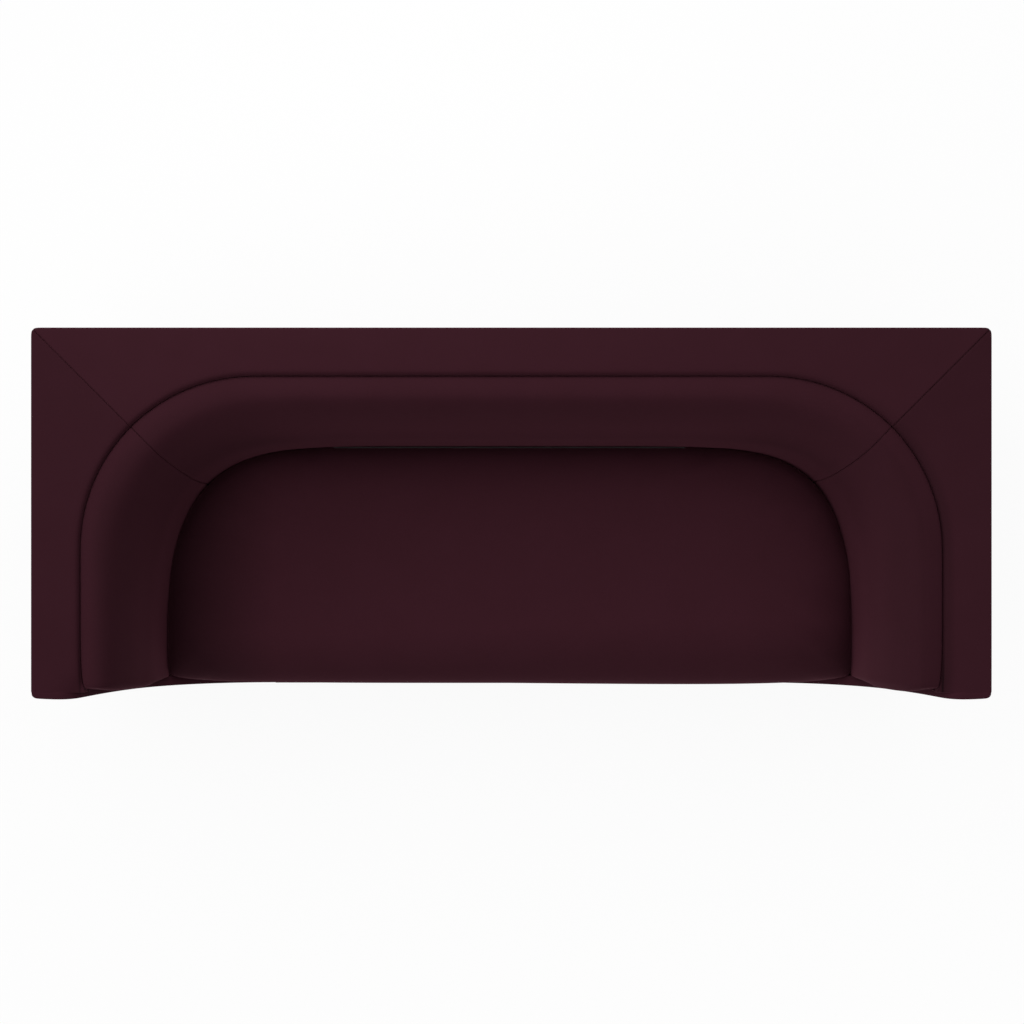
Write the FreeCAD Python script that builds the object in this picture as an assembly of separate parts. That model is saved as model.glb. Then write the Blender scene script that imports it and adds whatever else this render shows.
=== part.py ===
"""Curved sofa: a square upholstered shell with a rounded inside, a wrap-around pad and a loose seat cushion.

Millimetres. X runs along the sofa, the back is at +Y and the front at -Y, Z is up.
The origin is on the floor, under the middle of the sofa.
"""
import FreeCAD
import Part
import math
import os

Vector = FreeCAD.Vector

# Overall sizes
WIDTH = 2134.0
DEPTH = 825.0
HEIGHT = 740.0
FOOT_HEIGHT = 110.0
CORNER_RADIUS = 14.0

# Upholstery layers
COVER = 3.0
RIM_FOAM = 12.0
DUST_COVER = 1.0

# Rim and wrap-around pad, in plan from the outside face inwards
RIM_WIDTH = 107.0
RIM_CORNER_RADIUS = 385.0
PAD_THICKNESS = 145.0
PAD_CORNER_RADIUS = 325.0
PAD_TUCK = 8.0
PAD_END_RADIUS = 25.0

# The pad's section: drop below the rim, as a share of the pad's thickness, from the seam to the seat
PAD_ROLL = ((8.0, 0.22), (12.0, 0.33), (18.0, 0.43), (27.0, 0.51), (48.0, 0.60), (90.0, 0.71), (150.0, 0.85),
            (215.0, 0.95))
PAD_SEAM_ROLL = (10.0, 3.0)

# Swept front facing, seen from the front
FACING_SHOULDER = 95.0
FACING_LEAN = 20.0
FACING_SHOULDER_RADIUS = 50.0
FACING_SWEEP_RADIUS = 340.0
FACING_LENGTH = 500.0

# Seat
SEAT_EDGE_HEIGHT = 440.0
DECK_HEIGHT = 305.0
SEAT_CROWN = 15.0
SEAT_SIDE_GAP = 1.0
SEAT_FRONT_GAP = 0.5
SEAT_FRONT_RADIUS = 30.0
REST_GAP = 0.3

# The seat's section: share of its edge height and how far the side rolls in; then share of the crown's rise
# and how far in that is, as a share of the seat's depth
SEAT_SIDE = ((0.0, 14.0), (0.05, 5.0), (0.14, 1.0), (0.25, 0.0), (0.84, 0.0), (0.94, 5.0), (1.0, 16.0))
SEAT_TOP = ((0.5, 0.08), (0.85, 0.18), (1.0, 0.32))

# Boards and rails
BOARD = 18.0
FRONT_BOARD = 12.0
SHELF = 12.0
LINER = 5.0
RAIL = 30.0
STRETCHER_HEIGHT = 100.0
STRETCHER_SPACING = 540.0
RIB_ARM_SHARES = (0.35, 0.95)
RIB_BACK_SPACING = 300.0
RIB_BACK_COUNT = 4
WINDOW_MARGIN = 80.0
WINDOW_RADIUS = 40.0

# Seat suspension
SPRING_WIRE = 4.0
SPRING_WIDTH = 50.0
SPRING_BEND_RADIUS = 10.5
SPRING_COUNT = 9
SPRING_SPACING = 165.0
SPRING_END = 6.0
CLIP_LENGTH = 16.0
CLIP_HEIGHT = 10.0
TIE_WIRE = 2.4
TIE_PLACES = (-210.0, 10.0)
FELT = 4.0
DECK_PAD = 18.0
FIT_GAP = 0.1

# Feet and their fixings
FOOT_BLOCK_WIDTH = 90.0
FOOT_BLOCK_THICKNESS = 40.0
FOOT_TOP_RADIUS = 28.0
FOOT_TIP_RADIUS = 18.0
FOOT_TIP_CHAMFER = 2.0
BOLT_RADIUS = 4.0
BOLT_IN_FOOT = 27.0
NUT_FLANGE_RADIUS = 10.0
NUT_FLANGE = 2.0
NUT_BARREL_RADIUS = 5.5
NUT_BARREL = 12.0
GLIDE_RADIUS = 15.0
GLIDE = 3.0
GLIDE_PIN_RADIUS = 2.0
GLIDE_PIN = 14.0
SCREW_RADIUS = 2.2
SCREW_HEAD_RADIUS = 4.5
SCREW_HEAD = 2.5
SCREW_BITE = 9.0
SCREW_SPREAD = 50.0

# Zip in the back of the seat cover
ZIP_LENGTH = 840.0
ZIP_SLOT = 16.0
ZIP_TAPE = 30.0
ZIP_TAPE_THICKNESS = 1.2
ZIP_CHAIN = 5.0
ZIP_CHAIN_HEIGHT = 2.2
SLIDER_LENGTH = 12.0
SLIDER_HEIGHT = 10.0
SLIDER_PLATE = 1.2
SLIDER_GAP = 0.3
SLIDER_END_MARGIN = 10.0

# Places that follow from the sizes above
HALF_WIDTH = WIDTH / 2
HALF_DEPTH = DEPTH / 2
SHELL = COVER + BOARD
FRONT_INSIDE = -HALF_DEPTH + COVER + FRONT_BOARD
BACK_INSIDE = HALF_DEPTH - SHELL
SIDE_INSIDE = HALF_WIDTH - SHELL
FRAME_BOTTOM = FOOT_HEIGHT + DUST_COVER
BOARD_TOP = HEIGHT - COVER - RIM_FOAM
RIB_TOP = BOARD_TOP - BOARD
SHELF_BOTTOM = DECK_HEIGHT - SHELF
FELT_BOTTOM = DECK_HEIGHT - DECK_PAD - FELT
SPRING_LEVEL = FELT_BOTTOM - SPRING_WIRE / 2
WELL = RIM_WIDTH + PAD_THICKNESS
RAIL_OUTSIDE = WELL - RAIL
WELL_HALF_WIDTH = HALF_WIDTH - WELL
WELL_BACK = HALF_DEPTH - WELL
RAIL_FRONT_FACE = FRONT_INSIDE + RAIL
BLOCK_INSIDE = RAIL_FRONT_FACE + FOOT_BLOCK_WIDTH
CORNER_START = HALF_DEPTH - RIM_WIDTH - RIM_CORNER_RADIUS
ZIP_LEVEL = (DECK_HEIGHT + SEAT_EDGE_HEIGHT) / 2
ZIP_FACE = WELL_BACK - SEAT_SIDE_GAP - COVER
RIB_ARM_PLACES = [BLOCK_INSIDE + share * (CORNER_START - BLOCK_INSIDE) for share in RIB_ARM_SHARES]
RIB_BACK_PLACES = [(i - (RIB_BACK_COUNT - 1) / 2) * RIB_BACK_SPACING for i in range(RIB_BACK_COUNT)]
CUT_FAR = 2 * WIDTH
SIDES = {"left": -1, "right": 1}


def rounded_wire(corners, place):
    """Closed wire through (u, v, radius) corners, rounded by tangent arcs; place makes (u, v) a point."""
    count = len(corners)
    trims = []
    for i, (u, v, radius) in enumerate(corners):
        corner = Vector(u, v, 0)
        before = (Vector(*corners[i - 1][:2], 0) - corner).normalize()
        after = (Vector(*corners[(i + 1) % count][:2], 0) - corner).normalize()
        if radius == 0:
            trims.append((corner, None, corner))
            continue
        half = before.getAngle(after) / 2
        bisector = (before + after).normalize()
        reach = radius / math.tan(half)
        middle = corner + bisector * (radius / math.sin(half) - radius)
        trims.append((corner + before * reach, middle, corner + after * reach))
    edges = []
    for i, (start, middle, end) in enumerate(trims):
        if middle is not None:
            edges.append(Part.Arc(place(start), place(middle), place(end)).toShape())
        following = trims[(i + 1) % count][0]
        edges.append(Part.LineSegment(place(end), place(following)).toShape())
    return Part.Wire(edges)


def plan_wire(corners, z):
    """Rounded outline lying flat at height z."""
    return rounded_wire(corners, lambda p: Vector(p.x, p.y, z))


def plan_prism(corners, bottom, top):
    """Upright prism on a rounded outline."""
    return Part.Face(plan_wire(corners, bottom)).extrude(Vector(0, 0, top - bottom))


def front_prism(corners, front, back):
    """Prism on an outline of (x, z, radius), running from front to back along Y."""
    face = Part.Face(rounded_wire(corners, lambda p: Vector(p.x, front, p.y)))
    return face.extrude(Vector(0, back - front, 0))


def side_prism(corners, start, end):
    """Prism on an outline of (y, z, radius), running from start to end along X."""
    face = Part.Face(rounded_wire(corners, lambda p: Vector(start, p.x, p.y)))
    return face.extrude(Vector(end - start, 0, 0))


def block(low, high):
    """Box between two corners."""
    size = [b - a for a, b in zip(low, high)]
    return Part.makeBox(*size, Vector(*low))


def rod(radius, length, base, direction=Vector(0, 0, 1)):
    """Round bar from a base point."""
    return Part.makeCylinder(radius, length, base, direction)


def mirrored(shape):
    """The same piece for the other end of the sofa."""
    return shape.mirror(Vector(0, 0, 0), Vector(1, 0, 0))


def joined(shapes):
    """One piece made of touching or overlapping shapes."""
    return shapes[0].fuse(shapes[1:]).removeSplitter()


def shell_corners(inset):
    """Plan of the square shell, inset from its outside."""
    x, y, radius = HALF_WIDTH - inset, HALF_DEPTH - inset, max(CORNER_RADIUS - inset, 0)
    return [(-x, -y, radius), (x, -y, radius), (x, y, radius), (-x, y, radius)]


def pad_radius(depth):
    """Plan corner radius of the pad's surface at a depth into the pad; outside the pad it is concentric."""
    if depth < 0:
        return RIM_CORNER_RADIUS - depth
    return RIM_CORNER_RADIUS - (RIM_CORNER_RADIUS - PAD_CORNER_RADIUS) * depth / PAD_THICKNESS


def well_corners(inset, front):
    """Plan of the rounded space inside the shell, inset from the outside faces and closed at the front."""
    x, y, radius = HALF_WIDTH - inset, HALF_DEPTH - inset, pad_radius(inset - RIM_WIDTH)
    return [(-x, front, 0), (x, front, 0), (x, y, radius), (-x, y, radius)]


def band(outer, inner, bottom, top, front):
    """Upright U-shaped wall between two plan insets of the rounded space."""
    return plan_prism(well_corners(outer, front), bottom, top).cut(
        plan_prism(well_corners(inner, front - COVER), bottom, top))


def mitre(side, bottom, top):
    """Wedge that takes one side's share of a U-shaped piece, mitred through the back corners."""
    apex = (0.0, HALF_DEPTH - HALF_WIDTH, 0)
    reach, back = HALF_WIDTH + CUT_FAR, HALF_DEPTH + CUT_FAR
    if side == "back":
        return plan_prism([apex, (reach, back, 0), (-reach, back, 0)], bottom, top)
    far = SIDES[side] * reach
    return plan_prism([apex, (far, back, 0), (far, -CUT_FAR, 0), (0.0, -CUT_FAR, 0)], bottom, top)


def mitred(shape, side):
    """One side's share of a U-shaped piece."""
    box = shape.BoundBox
    return shape.common(mitre(side, box.ZMin - COVER, box.ZMax + COVER))


def facing_corners(inset, bottom, end):
    """Outline of the swept facing of the right arm as (x, z, radius), inset from its outside."""
    turn = math.radians(90 - FACING_LEAN)
    shift = inset * math.tan(turn / 2)
    shoulder = HALF_WIDTH - FACING_SHOULDER + shift
    fall = (HEIGHT - DECK_HEIGHT) / math.tan(turn)
    return [
        (HALF_WIDTH - inset, bottom, 0),
        (HALF_WIDTH - inset, HEIGHT - inset, 0),
        (shoulder, HEIGHT - inset, FACING_SHOULDER_RADIUS - inset),
        (shoulder - fall, DECK_HEIGHT - inset, FACING_SWEEP_RADIUS + inset),
        (HALF_WIDTH - end, DECK_HEIGHT - inset, 0),
        (HALF_WIDTH - end, bottom, 0),
    ]


def windowed(panel, windows, front, back, prism):
    """Panel with rounded lightening windows, each given as (low u, low v, high u, high v)."""
    for low_u, low_v, high_u, high_v in windows:
        corners = [(low_u, low_v), (high_u, low_v), (high_u, high_v), (low_u, high_v)]
        panel = panel.cut(prism([(u, v, WINDOW_RADIUS) for u, v in corners], front, back))
    return panel


def side_panel():
    """Right-hand plywood side, with a lightening window."""
    panel = block((SIDE_INSIDE, FRONT_INSIDE, FRAME_BOTTOM), (HALF_WIDTH - COVER, BACK_INSIDE, RIB_TOP))
    front, back, top = RAIL_FRONT_FACE + WINDOW_MARGIN, BACK_INSIDE - WINDOW_MARGIN, RIB_TOP - WINDOW_MARGIN
    return windowed(panel, [(front, DECK_HEIGHT, back, top)], SIDE_INSIDE, HALF_WIDTH - COVER, side_prism)


def back_panel():
    """Plywood back, with lightening windows between the ribs."""
    panel = plan_prism(shell_corners(COVER), FRAME_BOTTOM, RIB_TOP)
    panel = panel.common(block((-WIDTH, BACK_INSIDE, 0), (WIDTH, DEPTH, HEIGHT)))
    windows = []
    for low, high in zip(RIB_BACK_PLACES, RIB_BACK_PLACES[1:]):
        windows.append((low + WINDOW_MARGIN, DECK_HEIGHT, high - WINDOW_MARGIN, RIB_TOP - WINDOW_MARGIN))
    return windowed(panel, windows, BACK_INSIDE, HALF_DEPTH - COVER, front_prism)


def front_board():
    """Right-hand plywood front, cut to the swept curve."""
    board = front_prism(facing_corners(COVER, FRAME_BOTTOM, FACING_LENGTH), -HALF_DEPTH + COVER, FRONT_INSIDE)
    return board.common(plan_prism(shell_corners(COVER), 0, HEIGHT))


def front_rail():
    """Plywood rail between the two swept boards."""
    x = HALF_WIDTH - FACING_LENGTH
    return block((-x, -HALF_DEPTH + COVER, FRAME_BOTTOM), (x, FRONT_INSIDE, DECK_HEIGHT - COVER))


def rim_band(outside, inside, bottom, top):
    """U-shaped layer of the rim between two insets, behind the front boards."""
    behind = block((-WIDTH, FRONT_INSIDE, bottom), (WIDTH, DEPTH, top))
    layer = plan_prism(shell_corners(outside), bottom, top).common(behind)
    return layer.cut(plan_prism(well_corners(inside, -DEPTH), bottom, top))


def top_board(side):
    """Flat plywood board under the rim."""
    return mitred(rim_band(COVER, RIM_WIDTH - COVER, RIB_TOP, BOARD_TOP), side)


def rim_foam():
    """Foam strip on the top boards, in one piece round the sofa."""
    return rim_band(COVER, RIM_WIDTH - COVER, BOARD_TOP, HEIGHT - COVER)


def rim_cover(side):
    """Velvet over the rim, with a lip down its inner edge."""
    top = rim_band(0, RIM_WIDTH, HEIGHT - COVER, HEIGHT)
    lip = band(RIM_WIDTH - COVER, RIM_WIDTH, RIB_TOP, HEIGHT - COVER, FRONT_INSIDE)
    return mitred(joined([top, lip]), side)


def arm_ribs():
    """Right-hand L-shaped ribs that carry the liner, the top board and the pad shelf."""
    outline = [
        (SIDE_INSIDE, FRAME_BOTTOM, 0),
        (SIDE_INSIDE, RIB_TOP, 0),
        (HALF_WIDTH - RIM_WIDTH + LINER, RIB_TOP, 0),
        (HALF_WIDTH - RIM_WIDTH + LINER, SHELF_BOTTOM, 0),
        (HALF_WIDTH - RAIL_OUTSIDE, SHELF_BOTTOM, 0),
        (HALF_WIDTH - RAIL_OUTSIDE, FRAME_BOTTOM, 0),
    ]
    return Part.makeCompound([front_prism(outline, y - BOARD / 2, y + BOARD / 2) for y in RIB_ARM_PLACES])


def back_ribs():
    """L-shaped ribs along the back."""
    outline = [
        (BACK_INSIDE, FRAME_BOTTOM, 0),
        (BACK_INSIDE, RIB_TOP, 0),
        (HALF_DEPTH - RIM_WIDTH + LINER, RIB_TOP, 0),
        (HALF_DEPTH - RIM_WIDTH + LINER, SHELF_BOTTOM, 0),
        (HALF_DEPTH - RAIL_OUTSIDE, SHELF_BOTTOM, 0),
        (HALF_DEPTH - RAIL_OUTSIDE, FRAME_BOTTOM, 0),
    ]
    return Part.makeCompound([side_prism(outline, x - BOARD / 2, x + BOARD / 2) for x in RIB_BACK_PLACES])


def corner_ribs():
    """Diagonal rib in each back corner, from the panels to the liner's curve."""
    centre = Vector(HALF_WIDTH - RIM_WIDTH - RIM_CORNER_RADIUS, CORNER_START, 0)
    post = block((0, -BOARD / 2, DECK_HEIGHT), (WIDTH, BOARD / 2, RIB_TOP))
    post.rotate(Vector(0, 0, 0), Vector(0, 0, 1), 45)
    post.translate(centre)
    post = post.common(block((0, 0, 0), (SIDE_INSIDE, BACK_INSIDE, HEIGHT)))
    post = post.cut(rod(RIM_CORNER_RADIUS + LINER, HEIGHT, centre))
    return Part.makeCompound([post, mirrored(post)])


def bent_liner():
    """Bending plywood bent round the inside of the ribs."""
    return band(RIM_WIDTH - LINER, RIM_WIDTH, DECK_HEIGHT, RIB_TOP, FRONT_INSIDE)


def pad_shelf(side):
    """Plywood shelf that the pad and the liner stand on."""
    return mitred(band(RIM_WIDTH - LINER, WELL, SHELF_BOTTOM, DECK_HEIGHT, FRONT_INSIDE), side)


def base_rail_front():
    """Hardwood rail behind the front boards."""
    return block((-SIDE_INSIDE, FRONT_INSIDE, FRAME_BOTTOM), (SIDE_INSIDE, RAIL_FRONT_FACE, FELT_BOTTOM))


def base_rail_side():
    """Right-hand hardwood rail under the pad's edge."""
    low = (WELL_HALF_WIDTH, RAIL_FRONT_FACE, FRAME_BOTTOM)
    return block(low, (WELL_HALF_WIDTH + RAIL, WELL_BACK + RAIL, SHELF_BOTTOM))


def base_rail_back():
    """Hardwood rail under the back pad's edge."""
    low = (-WELL_HALF_WIDTH, WELL_BACK, FRAME_BOTTOM)
    return block(low, (WELL_HALF_WIDTH, WELL_BACK + RAIL, SHELF_BOTTOM))


def base_stretchers():
    """Two stretchers from the front rail to the back rail, below the springs."""
    made = []
    for x in (-STRETCHER_SPACING / 2, STRETCHER_SPACING / 2):
        low = (x - RAIL / 2, RAIL_FRONT_FACE, FRAME_BOTTOM)
        made.append(block(low, (x + RAIL / 2, WELL_BACK, FRAME_BOTTOM + STRETCHER_HEIGHT)))
    return Part.makeCompound(made)


def spring_run():
    """Plan places of a spring's cross wires, from the front clip to the back clip."""
    start, end = RAIL_FRONT_FACE + SPRING_END, WELL_BACK - SPRING_END
    count = round((end - start) / (2 * SPRING_BEND_RADIUS))
    return [start + (end - start) * i / count for i in range(count + 1)]


def spring_places():
    """Middle line of each spring along the sofa."""
    middle = (SPRING_COUNT - 1) / 2
    return [(i - middle) * SPRING_SPACING for i in range(SPRING_COUNT)]


def seat_spring():
    """One sinuous spring on the middle of the sofa: cross wires joined by half-round bends."""
    rows = spring_run()
    bend = (rows[1] - rows[0]) / 2
    reach = SPRING_WIDTH / 2 - bend
    edges = []
    for i, y in enumerate(rows):
        sign = 1 if i % 2 == 0 else -1
        start, end = Vector(-sign * reach, y, SPRING_LEVEL), Vector(sign * reach, y, SPRING_LEVEL)
        edges.append(Part.LineSegment(start, end).toShape())
        if i + 1 < len(rows):
            top = Vector(sign * (reach + bend), y + bend, SPRING_LEVEL)
            after = Vector(sign * reach, rows[i + 1], SPRING_LEVEL)
            edges.append(Part.Arc(end, top, after).toShape())
    path = Part.Wire(edges)
    ring = Part.Wire([Part.makeCircle(SPRING_WIRE / 2, edges[0].Vertexes[0].Point, Vector(1, 0, 0))])
    return path.makePipeShell([ring], True, False)


def seat_springs():
    """The row of springs, one solid each."""
    one = seat_spring()
    return Part.makeCompound([one.translated(Vector(x, 0, 0)) for x in spring_places()])


def spring_clips():
    """Clips that hold each spring's two end wires to the rails."""
    made = []
    half = CLIP_LENGTH / 2
    for face, end in ((RAIL_FRONT_FACE, spring_run()[0]), (WELL_BACK, spring_run()[-1])):
        outer = end + math.copysign(SPRING_WIRE, end - face)
        low, high = sorted((face, outer))
        for x in spring_places():
            clip = block((x - half, low, SPRING_LEVEL - CLIP_HEIGHT / 2), (x + half, high, FELT_BOTTOM))
            wire = SPRING_WIRE / 2 + FIT_GAP
            hole = rod(wire, CLIP_LENGTH, Vector(x - half, end, SPRING_LEVEL), Vector(1, 0, 0))
            slot = block((x - half, end - wire, SPRING_LEVEL), (x + half, end + wire, FELT_BOTTOM))
            made.append(clip.cut(hole).cut(slot))
    return Part.makeCompound(made)


def spring_tie_wires():
    """Paper-wrapped wires that tie the springs across the sofa."""
    level = SPRING_LEVEL - SPRING_WIRE / 2 - TIE_WIRE / 2 - FIT_GAP
    return Part.makeCompound([
        rod(TIE_WIRE / 2, 2 * WELL_HALF_WIDTH, Vector(-WELL_HALF_WIDTH, y, level), Vector(1, 0, 0))
        for y in TIE_PLACES])


def deck_felt():
    """Felt over the springs."""
    low = (-WELL_HALF_WIDTH, FRONT_INSIDE, FELT_BOTTOM)
    return block(low, (WELL_HALF_WIDTH, WELL_BACK, FELT_BOTTOM + FELT))


def deck_pad():
    """Foam deck with its lining, flush with the pad shelf."""
    return plan_prism(well_corners(WELL, FRONT_INSIDE), DECK_HEIGHT - DECK_PAD, DECK_HEIGHT)


def pad_sections(skin):
    """The pad's plan at each height, as (height, outer depth, inner depth); skin takes the cover off."""
    sections = []
    for i, (drop, share) in enumerate(PAD_ROLL):
        seam = PAD_SEAM_ROLL[i] + skin if i < len(PAD_SEAM_ROLL) else 0.0
        sections.append((HEIGHT - drop - skin, seam, PAD_THICKNESS * share - skin))
    sections.append((SEAT_EDGE_HEIGHT, 0.0, PAD_THICKNESS - skin))
    sections.append((DECK_HEIGHT, 0.0, PAD_THICKNESS - PAD_TUCK - skin))
    return sections


def pad_loft(skin):
    """The whole wrap-around pad, or its foam when skin is the cover's thickness."""
    wires = []
    front = FRONT_INSIDE + skin
    for z, outer, inner in pad_sections(skin):
        rings = []
        for depth, end_radius in ((outer, 0), (inner, PAD_END_RADIUS * inner / PAD_THICKNESS)):
            x, y = HALF_WIDTH - RIM_WIDTH - depth, HALF_DEPTH - RIM_WIDTH - depth
            rings.append([(x, front, end_radius), (x, y, pad_radius(depth)), (-x, y, pad_radius(depth)),
                          (-x, front, end_radius)])
        wires.append(plan_wire(rings[0] + rings[1][::-1], z))
    return Part.makeLoft(wires[::-1], True, True)


def seat_loft(skin):
    """The seat cushion, or its foam when skin is the cover's thickness: straight sides and a crowned top."""
    bottom = DECK_HEIGHT + REST_GAP + skin
    top = SEAT_EDGE_HEIGHT - skin
    depth = WELL_BACK - FRONT_INSIDE
    profile = [(bottom + share * (top - bottom), roll) for share, roll in SEAT_SIDE]
    profile += [(top + share * SEAT_CROWN, reach * depth) for share, reach in SEAT_TOP]
    wires = []
    for z, roll in profile:
        inset = roll + skin
        x, back = WELL_HALF_WIDTH - SEAT_SIDE_GAP - inset, WELL_BACK - SEAT_SIDE_GAP - inset
        front = FRONT_INSIDE + SEAT_FRONT_GAP + inset
        front_radius, back_radius = SEAT_FRONT_RADIUS, PAD_CORNER_RADIUS - inset
        wires.append(plan_wire([(-x, front, front_radius), (x, front, front_radius),
                                (x, back, back_radius), (-x, back, back_radius)], z))
    return Part.makeLoft(wires, True, True)


def zip_strip(height, length, start, end):
    """Flat strip along the back of the seat at the zip's height."""
    return block((-length / 2, start, ZIP_LEVEL - height / 2), (length / 2, end, ZIP_LEVEL + height / 2))


def seat_cover(cushion, foam):
    """Velvet cover of the seat, open at the back where the zip closes it."""
    return cushion.cut(foam).cut(zip_strip(ZIP_SLOT, ZIP_LENGTH, ZIP_FACE - COVER, ZIP_FACE + 2 * COVER))


def seat_foam(foam):
    """Foam core, hollowed behind the zip."""
    hollow = zip_strip(ZIP_TAPE + 2 * COVER, ZIP_LENGTH + 2 * COVER, ZIP_FACE - 2 * COVER, ZIP_FACE + COVER)
    return foam.cut(hollow)


def zip_chain():
    """Zip tape behind the slot with its raised chain of teeth."""
    tape = zip_strip(ZIP_TAPE, ZIP_LENGTH, ZIP_FACE - ZIP_TAPE_THICKNESS, ZIP_FACE)
    return joined([tape, zip_strip(ZIP_CHAIN, ZIP_LENGTH, ZIP_FACE, ZIP_FACE + ZIP_CHAIN_HEIGHT)])


def zip_slider():
    """Slider that straddles the chain, at the closed end of the zip."""
    middle = -ZIP_LENGTH / 2 + SLIDER_END_MARGIN + SLIDER_LENGTH / 2
    low_x, high_x = middle - SLIDER_LENGTH / 2, middle + SLIDER_LENGTH / 2
    plate_back = ZIP_FACE + ZIP_CHAIN_HEIGHT + SLIDER_GAP
    body = block((low_x, ZIP_FACE + SLIDER_GAP, ZIP_LEVEL - SLIDER_HEIGHT / 2),
                 (high_x, plate_back + SLIDER_PLATE, ZIP_LEVEL + SLIDER_HEIGHT / 2))
    channel = ZIP_CHAIN / 2 + SLIDER_GAP
    return body.cut(block((low_x, ZIP_FACE, ZIP_LEVEL - channel), (high_x, plate_back, ZIP_LEVEL + channel)))


def shell_wrap(bottom, top):
    """Cover all round the outside of the shell."""
    return plan_prism(shell_corners(0), bottom, top).cut(plan_prism(shell_corners(COVER), bottom, top))


def outside_back_cover():
    """Velvet over the back, round both back corners."""
    back = block((-WIDTH, HALF_DEPTH - CORNER_RADIUS, 0), (WIDTH, DEPTH, HEIGHT))
    return shell_wrap(FOOT_HEIGHT, HEIGHT - COVER).common(back)


def outside_arm_cover():
    """Right-hand velvet side, between the facing and the back cover."""
    side = block((0, FRONT_INSIDE, 0), (WIDTH, HALF_DEPTH - CORNER_RADIUS, HEIGHT))
    return shell_wrap(FOOT_HEIGHT, HEIGHT - COVER).common(side)


def facing_cover():
    """Right-hand velvet facing, wrapped over the swept edge and the outer corner of its board."""
    whole = front_prism(facing_corners(0, FOOT_HEIGHT, FACING_LENGTH), -HALF_DEPTH, FRONT_INSIDE)
    whole = whole.common(plan_prism(shell_corners(0), 0, HEIGHT))
    board = front_prism(facing_corners(COVER, 0, FACING_LENGTH + COVER), -HALF_DEPTH + COVER, FRONT_INSIDE)
    return whole.cut(board.common(plan_prism(shell_corners(COVER), 0, HEIGHT)))


def front_border_cover():
    """Velvet over the front rail."""
    x = HALF_WIDTH - FACING_LENGTH
    whole = block((-x, -HALF_DEPTH, FOOT_HEIGHT), (x, FRONT_INSIDE, DECK_HEIGHT))
    return whole.cut(block((-x, -HALF_DEPTH + COVER, 0), (x, FRONT_INSIDE, DECK_HEIGHT - COVER)))


def foot_places():
    """Middle of each foot block: at the corners and halfway along, by name."""
    x = SIDE_INSIDE - FOOT_BLOCK_WIDTH / 2
    front, back = RAIL_FRONT_FACE + FOOT_BLOCK_WIDTH / 2, BACK_INSIDE - FOOT_BLOCK_WIDTH / 2
    places = {}
    for end, y in (("front", front), ("back", back)):
        for side, px in (("left", -x), ("centre", 0.0), ("right", x)):
            places[f"{end}_{side}"] = Vector(px, y, 0)
    return places


def screw_places(place):
    """Screws of one block, side by side and driven towards the front or the back board."""
    outward = -1 if place.y < 0 else 1
    half = SCREW_SPREAD / 2
    start = place.y - outward * FOOT_BLOCK_WIDTH / 2
    return [(Vector(place.x + dx, start, FRAME_BOTTOM + FOOT_BLOCK_THICKNESS / 2), Vector(0, outward, 0))
            for dx in (-half, half)]


def screw(start, direction):
    """Wood screw with a flat head let into the block."""
    shank = rod(SCREW_RADIUS, FOOT_BLOCK_WIDTH + SCREW_BITE, start, direction)
    return joined([shank, rod(SCREW_HEAD_RADIUS, SCREW_HEAD, start, direction)])


def tee_nut(place):
    """Tee nut pressed into the top of a foot block."""
    top = FRAME_BOTTOM + FOOT_BLOCK_THICKNESS
    nut = joined([rod(NUT_FLANGE_RADIUS, NUT_FLANGE, place + Vector(0, 0, top)),
                  rod(NUT_BARREL_RADIUS, NUT_BARREL, place + Vector(0, 0, top - NUT_BARREL))])
    return nut.cut(rod(BOLT_RADIUS + FIT_GAP / 2, HEIGHT, place))


def foot_bolt(place):
    """Hanger bolt from the foot up through its tee nut."""
    length = BOLT_IN_FOOT + DUST_COVER + FOOT_BLOCK_THICKNESS + NUT_FLANGE
    return rod(BOLT_RADIUS, length, place + Vector(0, 0, FOOT_HEIGHT - BOLT_IN_FOOT))


def foot_block(place, screws):
    """Hardwood block that a foot is bolted to."""
    half = FOOT_BLOCK_WIDTH / 2
    low = (place.x - half, place.y - half, FRAME_BOTTOM)
    made = block(low, (place.x + half, place.y + half, FRAME_BOTTOM + FOOT_BLOCK_THICKNESS))
    made = made.cut(rod(BOLT_RADIUS + FIT_GAP / 2, HEIGHT, place))
    made = made.cut(rod(NUT_BARREL_RADIUS, NUT_BARREL,
                        place + Vector(0, 0, FRAME_BOTTOM + FOOT_BLOCK_THICKNESS - NUT_BARREL)))
    return made.cut(screws)


def foot(place):
    """Turned tapered foot with blind holes for its bolt and its glide."""
    tip = FOOT_TIP_RADIUS - FOOT_TIP_CHAMFER
    profile = [Vector(0, 0, GLIDE), Vector(tip, 0, GLIDE),
               Vector(FOOT_TIP_RADIUS, 0, GLIDE + FOOT_TIP_CHAMFER),
               Vector(FOOT_TOP_RADIUS, 0, FOOT_HEIGHT), Vector(0, 0, FOOT_HEIGHT), Vector(0, 0, GLIDE)]
    turned = Part.Face(Part.makePolygon(profile)).revolve(Vector(0, 0, 0), Vector(0, 0, 1), 360)
    bolt_hole = rod(BOLT_RADIUS + FIT_GAP / 2, BOLT_IN_FOOT, Vector(0, 0, FOOT_HEIGHT - BOLT_IN_FOOT))
    pin_hole = rod(GLIDE_PIN_RADIUS + FIT_GAP / 2, GLIDE_PIN, Vector(0, 0, GLIDE))
    return turned.cut(bolt_hole).cut(pin_hole).translated(place)


def glide(place):
    """Nylon glide with its pin."""
    return joined([rod(GLIDE_RADIUS, GLIDE, place), rod(GLIDE_PIN_RADIUS, GLIDE + GLIDE_PIN, place)])


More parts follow.
